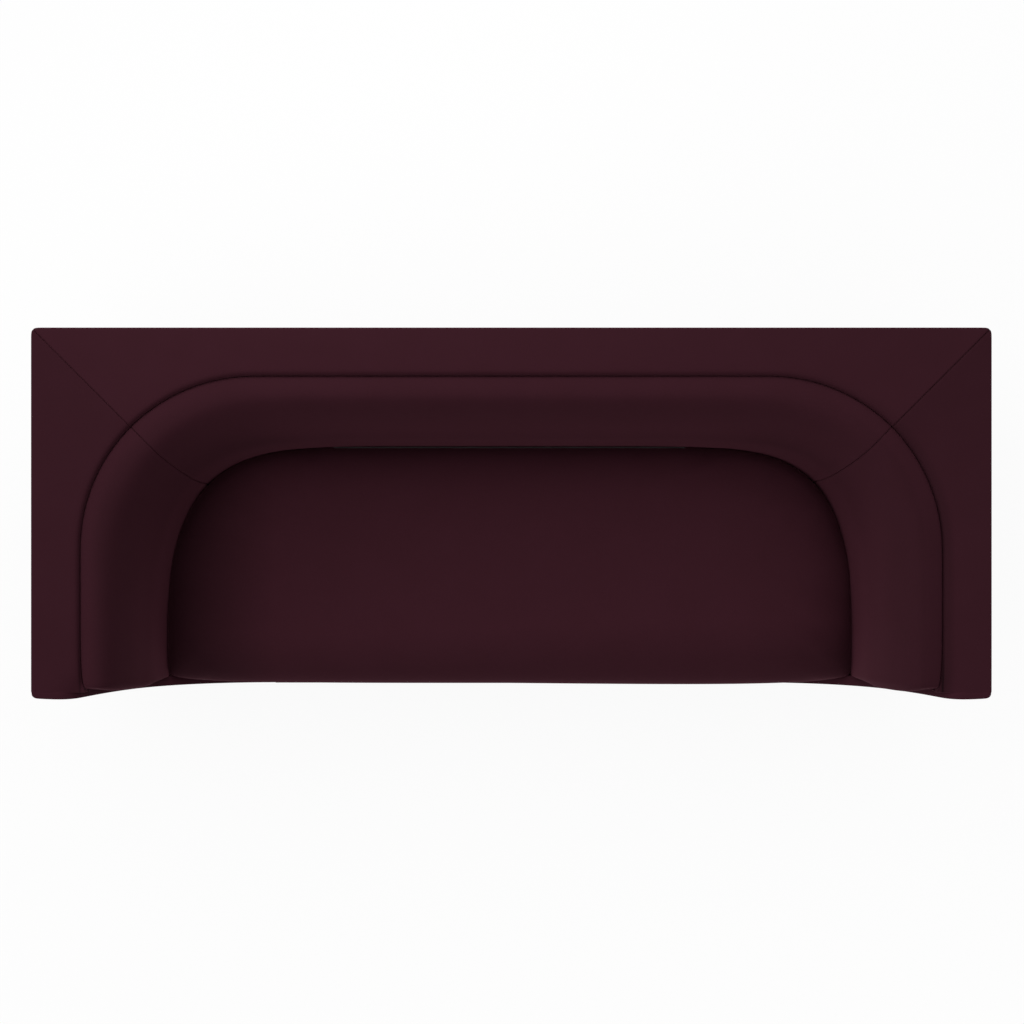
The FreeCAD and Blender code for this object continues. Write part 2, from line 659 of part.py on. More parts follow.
def dust_cover():
    """Black lining stapled under the frame, pierced for the bolts."""
    sheet = plan_prism(shell_corners(COVER), FOOT_HEIGHT, FRAME_BOTTOM)
    return sheet.cut([rod(BOLT_RADIUS + FIT_GAP, HEIGHT, place) for place in foot_places().values()])


def build():
    """Every sub-part by name."""
    nodes = {}
    for name, maker in (("side_panel", side_panel), ("front_board", front_board), ("arm_ribs", arm_ribs),
                        ("base_rail", base_rail_side), ("outside_arm_cover", outside_arm_cover),
                        ("facing_cover", facing_cover)):
        right = maker()
        nodes[f"{name}_right"] = right
        nodes[f"{name}_left"] = mirrored(right)
    pad, pad_core = pad_loft(0.0), pad_loft(COVER)
    pad_skin = pad.cut(pad_core)
    for side in ("left", "back", "right"):
        nodes[f"top_board_{side}"] = top_board(side)
        nodes[f"rim_cover_{side}"] = rim_cover(side)
        nodes[f"pad_shelf_{side}"] = pad_shelf(side)
        nodes[f"pad_foam_{side}"] = mitred(pad_core, side)
        nodes[f"pad_cover_{side}"] = mitred(pad_skin, side)
    for maker in (back_panel, front_rail, rim_foam, back_ribs, corner_ribs, bent_liner, base_rail_front,
                  base_rail_back, base_stretchers, seat_springs, spring_clips, spring_tie_wires, deck_felt,
                  deck_pad, outside_back_cover, front_border_cover, zip_chain, zip_slider, dust_cover):
        nodes[maker.__name__] = maker()
    cushion, cushion_core = seat_loft(0.0), seat_loft(COVER)
    nodes["seat_cover"] = seat_cover(cushion, cushion_core)
    nodes["seat_foam"] = seat_foam(cushion_core)
    places = foot_places()
    screws = [screw(*s) for place in places.values() for s in screw_places(place)]
    nodes["block_screws"] = Part.makeCompound(screws)
    nodes["foot_blocks"] = Part.makeCompound([foot_block(place, screws) for place in places.values()])
    nodes["tee_nuts"] = Part.makeCompound([tee_nut(place) for place in places.values()])
    nodes["foot_bolts"] = Part.makeCompound([foot_bolt(place) for place in places.values()])
    nodes["foot_glides"] = Part.makeCompound([glide(place) for place in places.values()])
    for name, place in places.items():
        nodes[f"foot_{name}"] = foot(place)
    for name in ("base_rail_front", "back_panel"):
        nodes[name] = nodes[name].cut(screws)
    return nodes


os.makedirs("parts", exist_ok=True)
for name, shape in build().items():
    shape.exportStep(f"parts/{name}.step")
    print(f"{name}: {len(shape.Solids)} solids, {shape.Volume / 1e6:.3f} litres, valid {shape.isValid()}")
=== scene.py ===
import bpy
import math
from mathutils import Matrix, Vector


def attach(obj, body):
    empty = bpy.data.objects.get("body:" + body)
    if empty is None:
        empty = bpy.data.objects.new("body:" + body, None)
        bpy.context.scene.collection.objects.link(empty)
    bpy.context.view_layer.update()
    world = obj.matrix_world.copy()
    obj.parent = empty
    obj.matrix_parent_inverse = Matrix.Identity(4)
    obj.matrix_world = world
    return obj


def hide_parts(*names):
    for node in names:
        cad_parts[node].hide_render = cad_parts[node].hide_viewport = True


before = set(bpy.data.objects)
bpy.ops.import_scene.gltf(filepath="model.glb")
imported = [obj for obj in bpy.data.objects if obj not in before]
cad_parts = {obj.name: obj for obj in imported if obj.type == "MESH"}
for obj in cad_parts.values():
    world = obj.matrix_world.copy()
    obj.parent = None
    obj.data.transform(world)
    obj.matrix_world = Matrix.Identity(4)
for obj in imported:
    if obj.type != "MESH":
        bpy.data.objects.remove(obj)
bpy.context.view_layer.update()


# Base: rails, stretchers and foot blocks of sawn beech, glued and screwed into a ladder that carries the
# springs and the feet. Planed beech is pale and pinkish, with short darker flecks along the grain.
def colour(code):
    """Linear colour of an sRGB hex value."""
    parts = [int(code[i:i + 2], 16) / 255 for i in (1, 3, 5)]
    return [p / 12.92 if p <= 0.04045 else ((p + 0.055) / 1.055) ** 2.4 for p in parts] + [1.0]


def add_node(material, kind, inputs=None, **settings):
    """Add a node of that kind, or take the given one, with its settings, values and links."""
    tree = material.node_tree
    node = kind if isinstance(kind, bpy.types.Node) else tree.nodes.new("ShaderNode" + kind)
    for name, value in settings.items():
        setattr(node, name, value)
    for socket, value in (inputs or {}).items():
        if isinstance(value, bpy.types.NodeSocket):
            tree.links.new(value, node.inputs[socket])
        else:
            node.inputs[socket].default_value = value
    return node


def start_material(name):
    """A new material and its surface shader."""
    material = bpy.data.materials.new(name)
    material.use_nodes = True
    return material, material.node_tree.nodes["Principled BSDF"]


def dress(material, *names):
    """Give CAD nodes their finish."""
    for name in names:
        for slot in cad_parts[name].material_slots:
            slot.material = material


beech, surface = start_material("planed_beech")
place = add_node(beech, "TexCoord").outputs["Object"]
# flecks about 2 mm wide and 15 mm long
grain = add_node(beech, "Mapping", {"Vector": place, "Scale": (65, 500, 500)}).outputs["Vector"]
fleck = add_node(beech, "TexNoise", {"Vector": grain, "Scale": 1.0, "Detail": 3.0}).outputs["Fac"]
wood = add_node(beech, "Mix", {0: fleck, 6: colour("#B98A5E"), 7: colour("#DDB88C")}, data_type='RGBA')
add_node(beech, surface, {"Base Color": wood.outputs[2], "Roughness": 0.55})
dress(beech, "base_rail_front", "base_rail_back", "base_rail_left", "base_rail_right", "base_stretchers",
      "foot_blocks")


# Shell: birch plywood sides, back, fronts, ribs, shelves and top boards, glued and stapled, with thin
# bending plywood round the inside. Birch plywood is pale, its cut edges striped by plies of about 1.4 mm.
plywood, surface = start_material("birch_plywood")
place = add_node(plywood, "TexCoord").outputs["Object"]
grain = add_node(plywood, "Mapping", {"Vector": place, "Scale": (12, 160, 40)}).outputs["Vector"]
figure = add_node(plywood, "TexNoise", {"Vector": grain, "Scale": 1.0, "Detail": 4.0}).outputs["Fac"]
face = add_node(plywood, "Mix", {0: figure, 6: colour("#C9A677"), 7: colour("#E3C79C")}, data_type='RGBA')
plies = add_node(plywood, "TexWave", {"Vector": place, "Scale": 110.0, "Distortion": 0.4},
                 bands_direction='Z')
edge = add_node(plywood, "Mix", {0: 0.2, 6: face.outputs[2], 7: plies.outputs["Color"]},
                data_type='RGBA', blend_type='MULTIPLY')
add_node(plywood, surface, {"Base Color": edge.outputs[2], "Roughness": 0.6})
dress(plywood, "side_panel_left", "side_panel_right", "back_panel", "front_board_left", "front_board_right",
      "front_rail", "arm_ribs_left", "arm_ribs_right", "back_ribs", "corner_ribs", "bent_liner",
      "pad_shelf_left", "pad_shelf_back", "pad_shelf_right", "top_board_left", "top_board_back",
      "top_board_right")


# Suspension and fixings: sinuous springs of oil-tempered wire in steel clips, tied by two wires, with felt
# over them; zinc-plated screws, tee nuts and bolts. Steel is grey with a slight uneven bloom.
steel, surface = start_material("zinc_plated_steel")
place = add_node(steel, "TexCoord").outputs["Object"]
bloom = add_node(steel, "TexNoise", {"Vector": place, "Scale": 220.0, "Detail": 3.0}).outputs["Fac"]
shine = add_node(steel, "MapRange", {"Value": bloom, "To Min": 0.28, "To Max": 0.5}).outputs["Result"]
zinc = add_node(steel, "Mix", {0: bloom, 6: colour("#8F9092"), 7: colour("#B4B5B5")}, data_type='RGBA')
add_node(steel, surface, {"Base Color": zinc.outputs[2], "Metallic": 1.0, "Roughness": shine})
dress(steel, "seat_springs", "spring_clips", "spring_tie_wires", "block_screws", "tee_nuts", "foot_bolts")

felt, surface = start_material("needled_felt")
place = add_node(felt, "TexCoord").outputs["Object"]
# fibre clumps about 3 mm across
clumps = add_node(felt, "TexNoise", {"Vector": place, "Scale": 330.0, "Detail": 5.0}).outputs["Fac"]
fibre = add_node(felt, "Mix", {0: clumps, 6: colour("#5C5A58"), 7: colour("#A9A49C")}, data_type='RGBA')
nap = add_node(felt, "Bump", {"Height": clumps, "Strength": 0.5, "Distance": 0.002}).outputs["Normal"]
add_node(felt, surface, {"Base Color": fibre.outputs[2], "Roughness": 0.95, "Normal": nap})
dress(felt, "deck_felt")


# Wrap-around pad: foam bent round the inside of the shell under velvet, in three lengths mitred in the back
# corners. It rolls from a tight seam at the rim, falls steeply to the seat and ends in rolled fronts.
# Cotton velvet is matte and deep; its short pile leans in broad patches that take the light differently.
velvet, surface = start_material("burgundy_velvet")
place = add_node(velvet, "TexCoord").outputs["Object"]
# patches of leaning pile about 80 mm across
lean = add_node(velvet, "TexNoise", {"Vector": place, "Scale": 12.0, "Detail": 2.0}).outputs["Fac"]
# pile drawn 1.8 mm coarse, because the real 0.3 mm tufts are too fine to show
tufts = add_node(velvet, "TexNoise", {"Vector": place, "Scale": 550.0, "Detail": 2.0}).outputs["Fac"]
pile = add_node(velvet, "Mix", {0: lean, 6: colour("#361820"), 7: colour("#391A23")}, data_type='RGBA')
tip = add_node(velvet, "Mix", {0: tufts, 6: colour("#D8D8D8"), 7: colour("#FFFFFF")}, data_type='RGBA')
cloth = add_node(velvet, "Mix", {0: 1.0, 6: pile.outputs[2], 7: tip.outputs[2]}, data_type='RGBA',
                 blend_type='MULTIPLY')
# painted light and shade: each piece stores a value that darkens the velvet where shade falls, in seams, low
# on the pad and beside the arms, and lightens it where light falls
painted_shading = add_node(velvet, "Attribute", attribute_name="painted_shading").outputs["Fac"]
shade = add_node(velvet, "Math", {0: painted_shading, 1: -0.18, 2: 1.0}, operation='MULTIPLY_ADD').outputs["Value"]
cloth = add_node(velvet, "VectorMath", {0: cloth.outputs[2], 3: shade}, operation='SCALE')
nap = add_node(velvet, "Bump", {"Height": tufts, "Strength": 0.12, "Distance": 0.001}).outputs["Normal"]
add_node(velvet, surface, {"Base Color": cloth.outputs[0], "Roughness": 0.85, "Specular IOR Level": 0.05,
                           "Sheen Weight": 0.19, "Sheen Roughness": 0.5, "Sheen Tint": colour("#B06377"),
                           "Normal": nap})

HALF_WIDTH, HALF_DEPTH, TOP = 1.067, 0.4125, 0.740
FRONT = -0.3975
RIM_WIDTH = 0.107
SEAM_RADIUS = 0.385
SEAT_RADIUS = 0.325
PAD_DEPTH = 0.145
ARM_RUN = HALF_DEPTH - RIM_WIDTH - SEAM_RADIUS - FRONT
CORNER_RUN = SEAM_RADIUS * math.pi / 2
MITRE_RUN = ARM_RUN + CORNER_RUN / 2
MIDDLE_RUN = ARM_RUN + CORNER_RUN + HALF_WIDTH - RIM_WIDTH - SEAM_RADIUS
# the pad's section in mm, as depth in from the rim seam and drop below the rim: over its crown and down its
# face
PAD_FACE = ((0, 38), (0.3, 22), (1.2, 12), (3.2, 8), (9, 6), (20, 3.6), (29, 1.9), (38, 0.9), (46, 0.8),
            (54, 2.5), (62, 6.4), (70, 13), (78, 22.5), (86, 34.5), (95, 51.5), (104, 71.5), (113, 96.5),
            (121, 124), (129, 155), (136, 187), (141, 235), (145, 300), (145.3, 345), (145.3, 372),
            (145.3, 415), (145.3, 434), (145, 435))
# then along the shelf and up its hidden back
PAD_HIDDEN = ((143, 435), (60, 435), (6, 435), (3, 400), (3, 300), (3, 200), (3, 120), (3, 60), (1.5, 48),
              (0, 38))
PAD_SECTION = PAD_FACE + PAD_HIDDEN
PAD_END_ROLL = 0.022
MITRE_ROLL = 0.0036
SEAM_GROOVE = 0.003
# the middle and half length of a back corner's bend, along the rim seam
BEND_MIDDLE, BEND_REACH = 0.637, 0.388


def clamp(value):
    """Keep a share between 0 and 1."""
    return min(max(value, 0.0), 1.0)


def plan_place(run, depth):
    """Plan place on the right half: run along the rim seam from the front, depth into the pad."""
    radius = SEAM_RADIUS - (SEAM_RADIUS - SEAT_RADIUS) * depth / PAD_DEPTH
    x, y = HALF_WIDTH - RIM_WIDTH - depth - radius, HALF_DEPTH - RIM_WIDTH - depth - radius
    if run < ARM_RUN:
        return x + radius, FRONT + (y - FRONT) * run / ARM_RUN
    turn = (run - ARM_RUN) / SEAM_RADIUS
    if turn < math.pi / 2:
        return x + radius * math.cos(turn), y + radius * math.sin(turn)
    return x * (MIDDLE_RUN - run) / (MIDDLE_RUN - ARM_RUN - CORNER_RUN), y + radius


def rolled(gap, roll):
    """How far a rolled edge falls away at a distance from its seam."""
    return roll - math.sqrt(roll ** 2 - (roll - gap) ** 2) if gap < roll else 0.0


def pick(piece):
    """Make one piece the only selected and active one."""
    bpy.ops.object.select_all(action='DESELECT')
    piece.select_set(True)
    bpy.context.view_layer.objects.active = piece


def apply_modifier(piece, kind, **settings):
    """Add a modifier to a piece and apply it."""
    pick(piece)
    modifier = piece.modifiers.new(kind, kind)
    for name, value in settings.items():
        setattr(modifier, name, value)
    bpy.ops.object.modifier_apply(modifier=modifier.name)


def laid_panel(name, across, along, place):
    """Panel laid over its form: a grid whose every vertex goes where place puts that across and along."""
    bpy.ops.object.select_all(action='DESELECT')
    bpy.ops.mesh.primitive_grid_add(x_subdivisions=len(across) - 1, y_subdivisions=len(along) - 1, size=2)
    panel = bpy.context.object
    panel.name = panel.data.name = name
    for vertex in panel.data.vertices:
        i = round((vertex.co.x + 1) / 2 * (len(across) - 1))
        j = round((vertex.co.y + 1) / 2 * (len(along) - 1))
        vertex.co = place(across[i], along[j])
    return panel


def paint_shading(piece, amount):
    """Store the painted light and shade at each point of a piece: darker above nought, lighter below."""
    stored = piece.data.attributes.new("painted_shading", 'FLOAT', 'POINT')
    stored.data.foreach_set("value", [amount(vertex.co) for vertex in piece.data.vertices])


def finish_piece(piece, material, slot, body, *replaced):
    """Smooth a piece, give it its finish, and set it on its body in place of CAD nodes."""
    pick(piece)
    bpy.ops.object.shade_smooth()
    piece.data.materials.clear()
    piece.data.materials.append(material)
    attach(piece, body)
    if replaced:
        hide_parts(*replaced)


def seam_curl(run):
    """How far the rim seam curls inwards near the front."""
    return 0.0125 * math.exp(-max(run, 0.0) / 0.028)


def pad_recess(run, right):
    """How far the pad's face stands back from its plain round: back in the corners, full beside them."""
    share = abs(run - BEND_MIDDLE) / BEND_REACH
    wave = math.cos(1.5 * math.pi * share)
    if share > 2 / 3:
        wave = -(1 + math.cos(math.pi * min((share - 2 / 3) / 0.383, 1.0))) / 2
    deep = math.cos(math.pi / 2 * min(share, 1.0)) ** 2
    front = clamp((0.33 - run) / 0.14)
    front = front * front * (3 - 2 * front)
    # in metres: the wave through the corner, its depth there, and the slack towards the front
    if right:
        return 0.0063 * wave + 0.0064 * deep + 0.0019 * front
    return 0.0063 * wave - 0.0013 * deep + 0.0038 * front


def pad_place(section, station):
    """Vertex of the pad: station gives the run, how far the section shrinks there, and if it is an end."""
    depth, drop = section[0] / 1000, section[1] / 1000
    run, shrink, end = station
    core = Vector((0.003, max(drop, 0.045)))
    reach = core - Vector((depth, drop))
    if shrink <= PAD_END_ROLL:
        shrink = min(shrink, 0.005 + 0.4 * depth)
    if reach.length > 0:
        depth, drop = Vector((depth, drop)) + reach * min(shrink / reach.length, 1.0)
    right, run = run <= MIDDLE_RUN, min(run, 2 * MIDDLE_RUN - run)
    flare = clamp((drop - 0.06) / 0.10) if depth > 0.08 else 0.0
    flare *= (0.006 if right else 0.016) * math.exp(-run / 0.020)
    # the recess fades out on the crown and again down at the shelf
    fade = clamp((depth - 0.04) / 0.09) * clamp((0.425 - drop) / 0.06)
    depth += seam_curl(run) * max(1 - depth / 0.06, 0.0) + flare - pad_recess(run, right) * fade
    x, y = plan_place(run, depth)
    if end:
        bulge = clamp((depth - 0.040) / 0.035)
        tuck = clamp((drop - 0.15) / 0.20)
        y += 0.005 - (0.0085 if right else 0.006) * bulge + 0.018 * tuck
    return Vector((x if right else -x, y, TOP - drop))


def mitre_stations(run, inward):
    """Stations at a mitre, from the pad towards its closed end."""
    gaps = (0.030, 0.012, 0.005, 0.002, 0.0007)
    made = [(run - inward * gap, rolled(gap, MITRE_ROLL), False) for gap in gaps]
    return made + [(run, MITRE_ROLL, False), (run, 0.02, False), (run, 1.0, False)]


def to_left(stations):
    """The same stations on the left half, in reverse."""
    return [(2 * MIDDLE_RUN - run, shrink, end) for run, shrink, end in stations[::-1]]


def pad(name, stations):
    """One length of the pad, closed at both ends."""
    piece = laid_panel(name, PAD_SECTION, stations, pad_place)
    pick(piece)
    bpy.ops.object.mode_set(mode='EDIT')
    bpy.ops.mesh.select_all(action='SELECT')
    bpy.ops.mesh.remove_doubles(threshold=0.00002)
    bpy.ops.mesh.normals_make_consistent(inside=False)
    bpy.ops.object.mode_set(mode='OBJECT')
    apply_modifier(piece, 'SUBSURF', levels=2, render_levels=2)
    return piece


def from_bend(point):
    """A plan place as seen from the centre of its back corner's bend."""
    middle = RIM_WIDTH + SEAM_RADIUS
    return Vector((abs(point.x) - HALF_WIDTH + middle, point.y - HALF_DEPTH + middle))


def seam_gap(point):
    """Distance of a plan place from the rim seam."""
    away = from_bend(point)
    return SEAM_RADIUS - (away.length if min(away) > 0 else max(away))


def seam_turn(point):
    """How far a plan place has come round a back corner: 0 on the arms, 1 on the back."""
    away = from_bend(point)
    return math.atan2(max(away.y, 0.0), max(away.x, 1e-6)) / (math.pi / 2)


def mitre_shade(point):
    """Painted shade in the mitre seams, darker on the right."""
    gap = abs(abs(point.x) - HALF_WIDTH - point.y + HALF_DEPTH) / math.sqrt(2)
    return (1.6 if point.x > 0 else 0.5) * max(1 - gap / SEAM_GROOVE, 0.0) if point.y > -0.1 else 0.0


def pad_shading(point):
    """Painted shade on the pad: dark in the seam and mitres, deeper past the crown and on the right arm, less
    low on the arms and most low on the back.
    """
    gap = seam_gap(point)
    low = clamp((gap - 0.10) / 0.043)
    arm, back = 1.0 - 0.9 * low, 0.3 + 2.4 * low ** 2
    shaded = clamp(gap / 0.025 - 0.8)
    # painted shade near the seam on the right arm too
    if point.x > 0:
        shaded = max(shaded, 0.7 * (1 - seam_turn(point)))
    groove_shade = 3.0 * max(1 - max(gap, 0.0) / SEAM_GROOVE, 0.0) + mitre_shade(point)
    return shaded * (arm + (back - arm) * seam_turn(point)) + groove_shade


front_end = [(0.0, share, True) for share in (1.0, 0.06, 0.035)]
for angle in (90, 72, 54, 36, 18, 0):
    sine, cosine = math.sin(math.radians(angle)), math.cos(math.radians(angle))
    front_end.append((PAD_END_ROLL * (1 - sine), PAD_END_ROLL * (1 - cosine), angle > 40))
arm_stations = front_end + [(run, 0.0, False) for run in (0.05, 0.09, 0.15, 0.21, 0.27, ARM_RUN)]
arm_stations += [(ARM_RUN + CORNER_RUN / 2 * step / 9, 0.0, False) for step in range(1, 9)]
arm_stations += mitre_stations(MITRE_RUN, 1)
back_half = mitre_stations(MITRE_RUN, -1)[::-1]
back_half += [(MITRE_RUN + CORNER_RUN / 2 * step / 9, 0.0, False) for step in range(1, 10)]
back_half += [(ARM_RUN + CORNER_RUN + run, 0.0, False) for run in (0.06, 0.15, 0.25, 0.36, 0.47)]
back_stations = back_half + [(MIDDLE_RUN, 0.0, False)] + to_left(back_half)
pad_right = pad("wrap_pad_right", arm_stations)
pad_back = pad("wrap_pad_back", back_stations)
pad_left = pad("wrap_pad_left", to_left(arm_stations))
for piece, side in ((pad_right, "right"), (pad_back, "back"), (pad_left, "left")):
    paint_shading(piece, pad_shading)
    finish_piece(piece, velvet, "velvet", "frame", "pad_cover_" + side, "pad_foam_" + side)


# Rim: velvet over a foam strip on the flat top boards, sewn in three lengths with mitred corners.
# It is level, rolls down into the pad's seam on the inside and over a tight edge on the outside.
# its section in mm: distance in from the outer face and drop, over the outer edge and into the seam
EDGE_ROLL = ((0, 8), (0.2, 3.6), (0.8, 1.5), (2.2, 0.5), (5, 0.1), (11, 0))
SEAM_SIDE = ((40, -0.5), (72, 0), (92, 0.1), (98, 0.8), (101.8, 2.4), (104.4, 5.5), (106, 11), (106.8, 20),
             (107, 38))
RIM_SECTION = ((1.5, 13.5), (0.2, 13)) + EDGE_ROLL + SEAM_SIDE
BACK_CORNER = 0.014
TOP_BOARD_DROP = 0.0143
# its lines keep to the outer edge up to the first distance in, and to the seam from the second on
FAN_START, FAN_END = 0.03, 0.08
VELVET_THICKNESS = 0.0025
# the swept front edge, by distance inside the outer face: a round shoulder, a slope and a long round sweep
SHOULDER_START, SHOULDER_RADIUS = 0.060, 0.050
SLOPE_START, SLOPE_DROP, SLOPE = 0.107, 0.033, math.radians(70)
SWEEP_START, SWEEP_END, SWEEP_DROP, SWEEP_RADIUS = 0.172, 0.4915, 0.0947, 0.340


def facing_drop(inside):
    """How far the swept front edge has fallen, at a distance inside the outer face."""
    if inside < SHOULDER_START:
        return 0.0
    if inside < SLOPE_START:
        return SHOULDER_RADIUS - math.sqrt(SHOULDER_RADIUS ** 2 - (inside - SHOULDER_START) ** 2)
    if inside < SWEEP_START:
        return SLOPE_DROP + (inside - SLOPE_START) * math.tan(SLOPE)
    left = min(max(SWEEP_END - inside, 0.0), SWEEP_RADIUS)
    return SWEEP_DROP + math.sqrt(SWEEP_RADIUS ** 2 - left ** 2)


def face_out(piece, outwards):
    """Turn all faces of an open panel to its outer side."""
    pick(piece)
    bpy.ops.object.mode_set(mode='EDIT')
    bpy.ops.mesh.select_all(action='SELECT')
    bpy.ops.mesh.normals_make_consistent(inside=False)
    bpy.ops.object.mode_set(mode='OBJECT')
    if sum(face.normal.dot(Vector(outwards)) * face.area for face in piece.data.polygons) < 0:
        piece.data.flip_normals()


def rim_place(section, station):
    """Vertex of the rim: section gives the distance in from the outer face and the drop."""
    inside, drop = section[0] / 1000, section[1] / 1000
    run = min(station, 2 * MIDDLE_RUN - station)
    inner = Vector(plan_place(max(run, 0.0), 0))
    turn = min(max((run - ARM_RUN) / SEAM_RADIUS, 0.0), math.pi / 2)
    ray = Vector((math.cos(turn), math.sin(turn)))
    centre = inner - ray * SEAM_RADIUS
    reach = (RIM_WIDTH + SEAM_RADIUS) / max(ray)
    corner = Vector((HALF_WIDTH - BACK_CORNER, HALF_DEPTH - BACK_CORNER))
    edge = centre + ray * reach
    if edge.x > corner.x and edge.y > corner.y:
        offset = centre - corner
        along = ray.dot(offset)
        reach = -along + math.sqrt(along ** 2 - offset.length_squared + BACK_CORNER ** 2)
    slant = 1 / max(ray)
    if inside < FAN_START:
        spot = centre + ray * (reach - inside * slant)
    elif inside > FAN_END:
        spot = centre + ray * (SEAM_RADIUS + RIM_WIDTH - inside)
    else:
        share = (inside - FAN_START) / (FAN_END - FAN_START)
        outer, seam = reach - FAN_START * slant, SEAM_RADIUS + RIM_WIDTH - FAN_END
        spot = centre + ray * (outer * (1 - share) + seam * share)
    spot -= ray * seam_curl(run) * clamp((inside - 0.06) / 0.04)
    gap = abs(run - MITRE_RUN) * (spot - centre).length / SEAM_RADIUS
    drop += rolled(gap, MITRE_ROLL)
    drop += 0.0006 * max(1 - run / 0.07, 0.0) ** 2
    dip = facing_drop(inside) * max(1 - max(run, 0.0) / 0.055, 0.0) ** 2
    drop = max(min(drop + dip, TOP_BOARD_DROP), drop)
    if run < 0:
        # the turned-down end hangs deep only beside the pad
        share = min(max((inside - 0.06) / 0.03, 0.16), 1.0)
        spot.y, drop = FRONT - min(-run, 0.002), drop - run * share
        spot.x = min(spot.x, HALF_WIDTH - min(-run, 0.004))
    return Vector((spot.x if station <= MIDDLE_RUN else -spot.x, spot.y, TOP - drop))


def rim(name, stations):
    """One length of the rim."""
    piece = laid_panel(name, RIM_SECTION, stations, rim_place)
    face_out(piece, (0, 0, 1))
    apply_modifier(piece, 'SUBSURF', levels=2, render_levels=2, boundary_smooth='PRESERVE_CORNERS')
    apply_modifier(piece, 'SOLIDIFY', thickness=VELVET_THICKNESS, offset=-1)
    return piece


def seam_shade(point):
    """Painted shade along the pad's seam: dark in its groove and the mitres, with a band beside it, broad on
    the right arm and fading round the corner, faint on the left.
    """
    gap = abs(seam_gap(point))
    near, inside = max(1 - gap / 0.026, 0.0), max(1 - gap / SEAM_GROOVE, 0.0)
    groove_shade = 2.5 * inside + mitre_shade(point)
    return near * (2.0 - 1.9 * seam_turn(point) if point.x > 0 else 0.1) + groove_shade


def arm_rim_shading(point):
    """Painted shade on the arms' rims: deeper towards the back corners and all over the right rim, with the
    seam's painted shade.
    """
    nap = 0.25 + 1.1 * seam_turn(point) if point.x > 0 else 0.45 * seam_turn(point)
    return nap + seam_shade(point)


def back_rim_shading(point):
    """Painted light on the back's rim, over its left half and fading out towards the right end, with the
    seam's painted shade.
    """
    return 0.4 * clamp((point.x - 0.1) / 0.8) - 0.35 + seam_shade(point)


mitre_gaps = (0.040, 0.020, 0.010, 0.005, 0.0025, 0.0012, 0.0004, 0.0)
turned_down = [-0.075, -0.050, -0.030, -0.012, -0.004, -0.001]
arm_runs = turned_down + [0.0, 0.004, 0.010, 0.020, 0.035, 0.055, 0.09, 0.15, 0.21, 0.27, ARM_RUN]
arm_runs += [ARM_RUN + CORNER_RUN / 2 * step / 9 for step in range(1, 8)]
arm_runs += [MITRE_RUN - gap for gap in mitre_gaps]
half_runs = [MITRE_RUN + gap for gap in mitre_gaps[::-1]]
half_runs += [MITRE_RUN + CORNER_RUN / 2 * step / 9 for step in range(2, 10)]
half_runs += [ARM_RUN + CORNER_RUN + run for run in (0.06, 0.15, 0.25, 0.36, 0.47)]
back_runs = half_runs + [MIDDLE_RUN] + [2 * MIDDLE_RUN - run for run in half_runs[::-1]]
rim_right = rim("rim_right", arm_runs)
rim_back = rim("rim_back", back_runs)
rim_left = rim("rim_left", [2 * MIDDLE_RUN - run for run in arm_runs[::-1]])
for piece, side, replaced in ((rim_right, "right", ["rim_cover_right"]),
                              (rim_back, "back", ["rim_cover_back", "rim_foam"]),
                              (rim_left, "left", ["rim_cover_left"])):
    paint_shading(piece, back_rim_shading if side == "back" else arm_rim_shading)
    finish_piece(piece, velvet, "velvet", "frame", *replaced)


# Swept facings: velvet pulled over the front boards of the arms. The top edge runs level from the outer
# corner, turns down a shoulder and sweeps inwards to the seat in one long curve. The velvet wraps that edge
# and the corner.
FRONT_CORNER = 0.012
FACING_SIDE = -0.3925
FACING_END = 0.500
SEAM_ROLL = 0.0025
BOTTOM = 0.110


def other_side(piece, name):
    """Mirrored copy of a piece for the other end of the sofa."""
    pick(piece)
    bpy.ops.object.duplicate()
    copy = bpy.context.object
    copy.name = copy.data.name = name
    bpy.ops.object.mode_set(mode='EDIT')
    bpy.ops.mesh.select_all(action='SELECT')
    bpy.ops.transform.resize(value=(-1, 1, 1), center_override=(0, 0, 0))
    bpy.ops.mesh.flip_normals()
    bpy.ops.object.mode_set(mode='OBJECT')
    return copy


def facing_place(column, ring):
    """Vertex of the right facing: column is a place along its edge, ring one from its top to its hem."""
    x, y, inward, inside, drop, tilt = column
    inset, fall, share = ring
    x, drop = x + math.sin(tilt) * fall, drop + math.cos(tilt) * fall
    x += (HALF_WIDTH - inside - x) * share if inside > 0 else 0.0
    drop += (TOP - BOTTOM - drop) * share
    spare = max(inset - 0.8 * FRONT_CORNER, 0.0) if inside == 0 else 0.0
    y, inset = y + spare, inset - spare
    inset += rolled(FACING_END - inside, SEAM_ROLL)
    inset += (0.0010 - 0.0027 * max(1 - ((inside - 0.068) / 0.065) ** 2, 0.0)) * (1 - share)
    return Vector((x + inward[0] * inset, y + inward[1] * inset, TOP - drop))


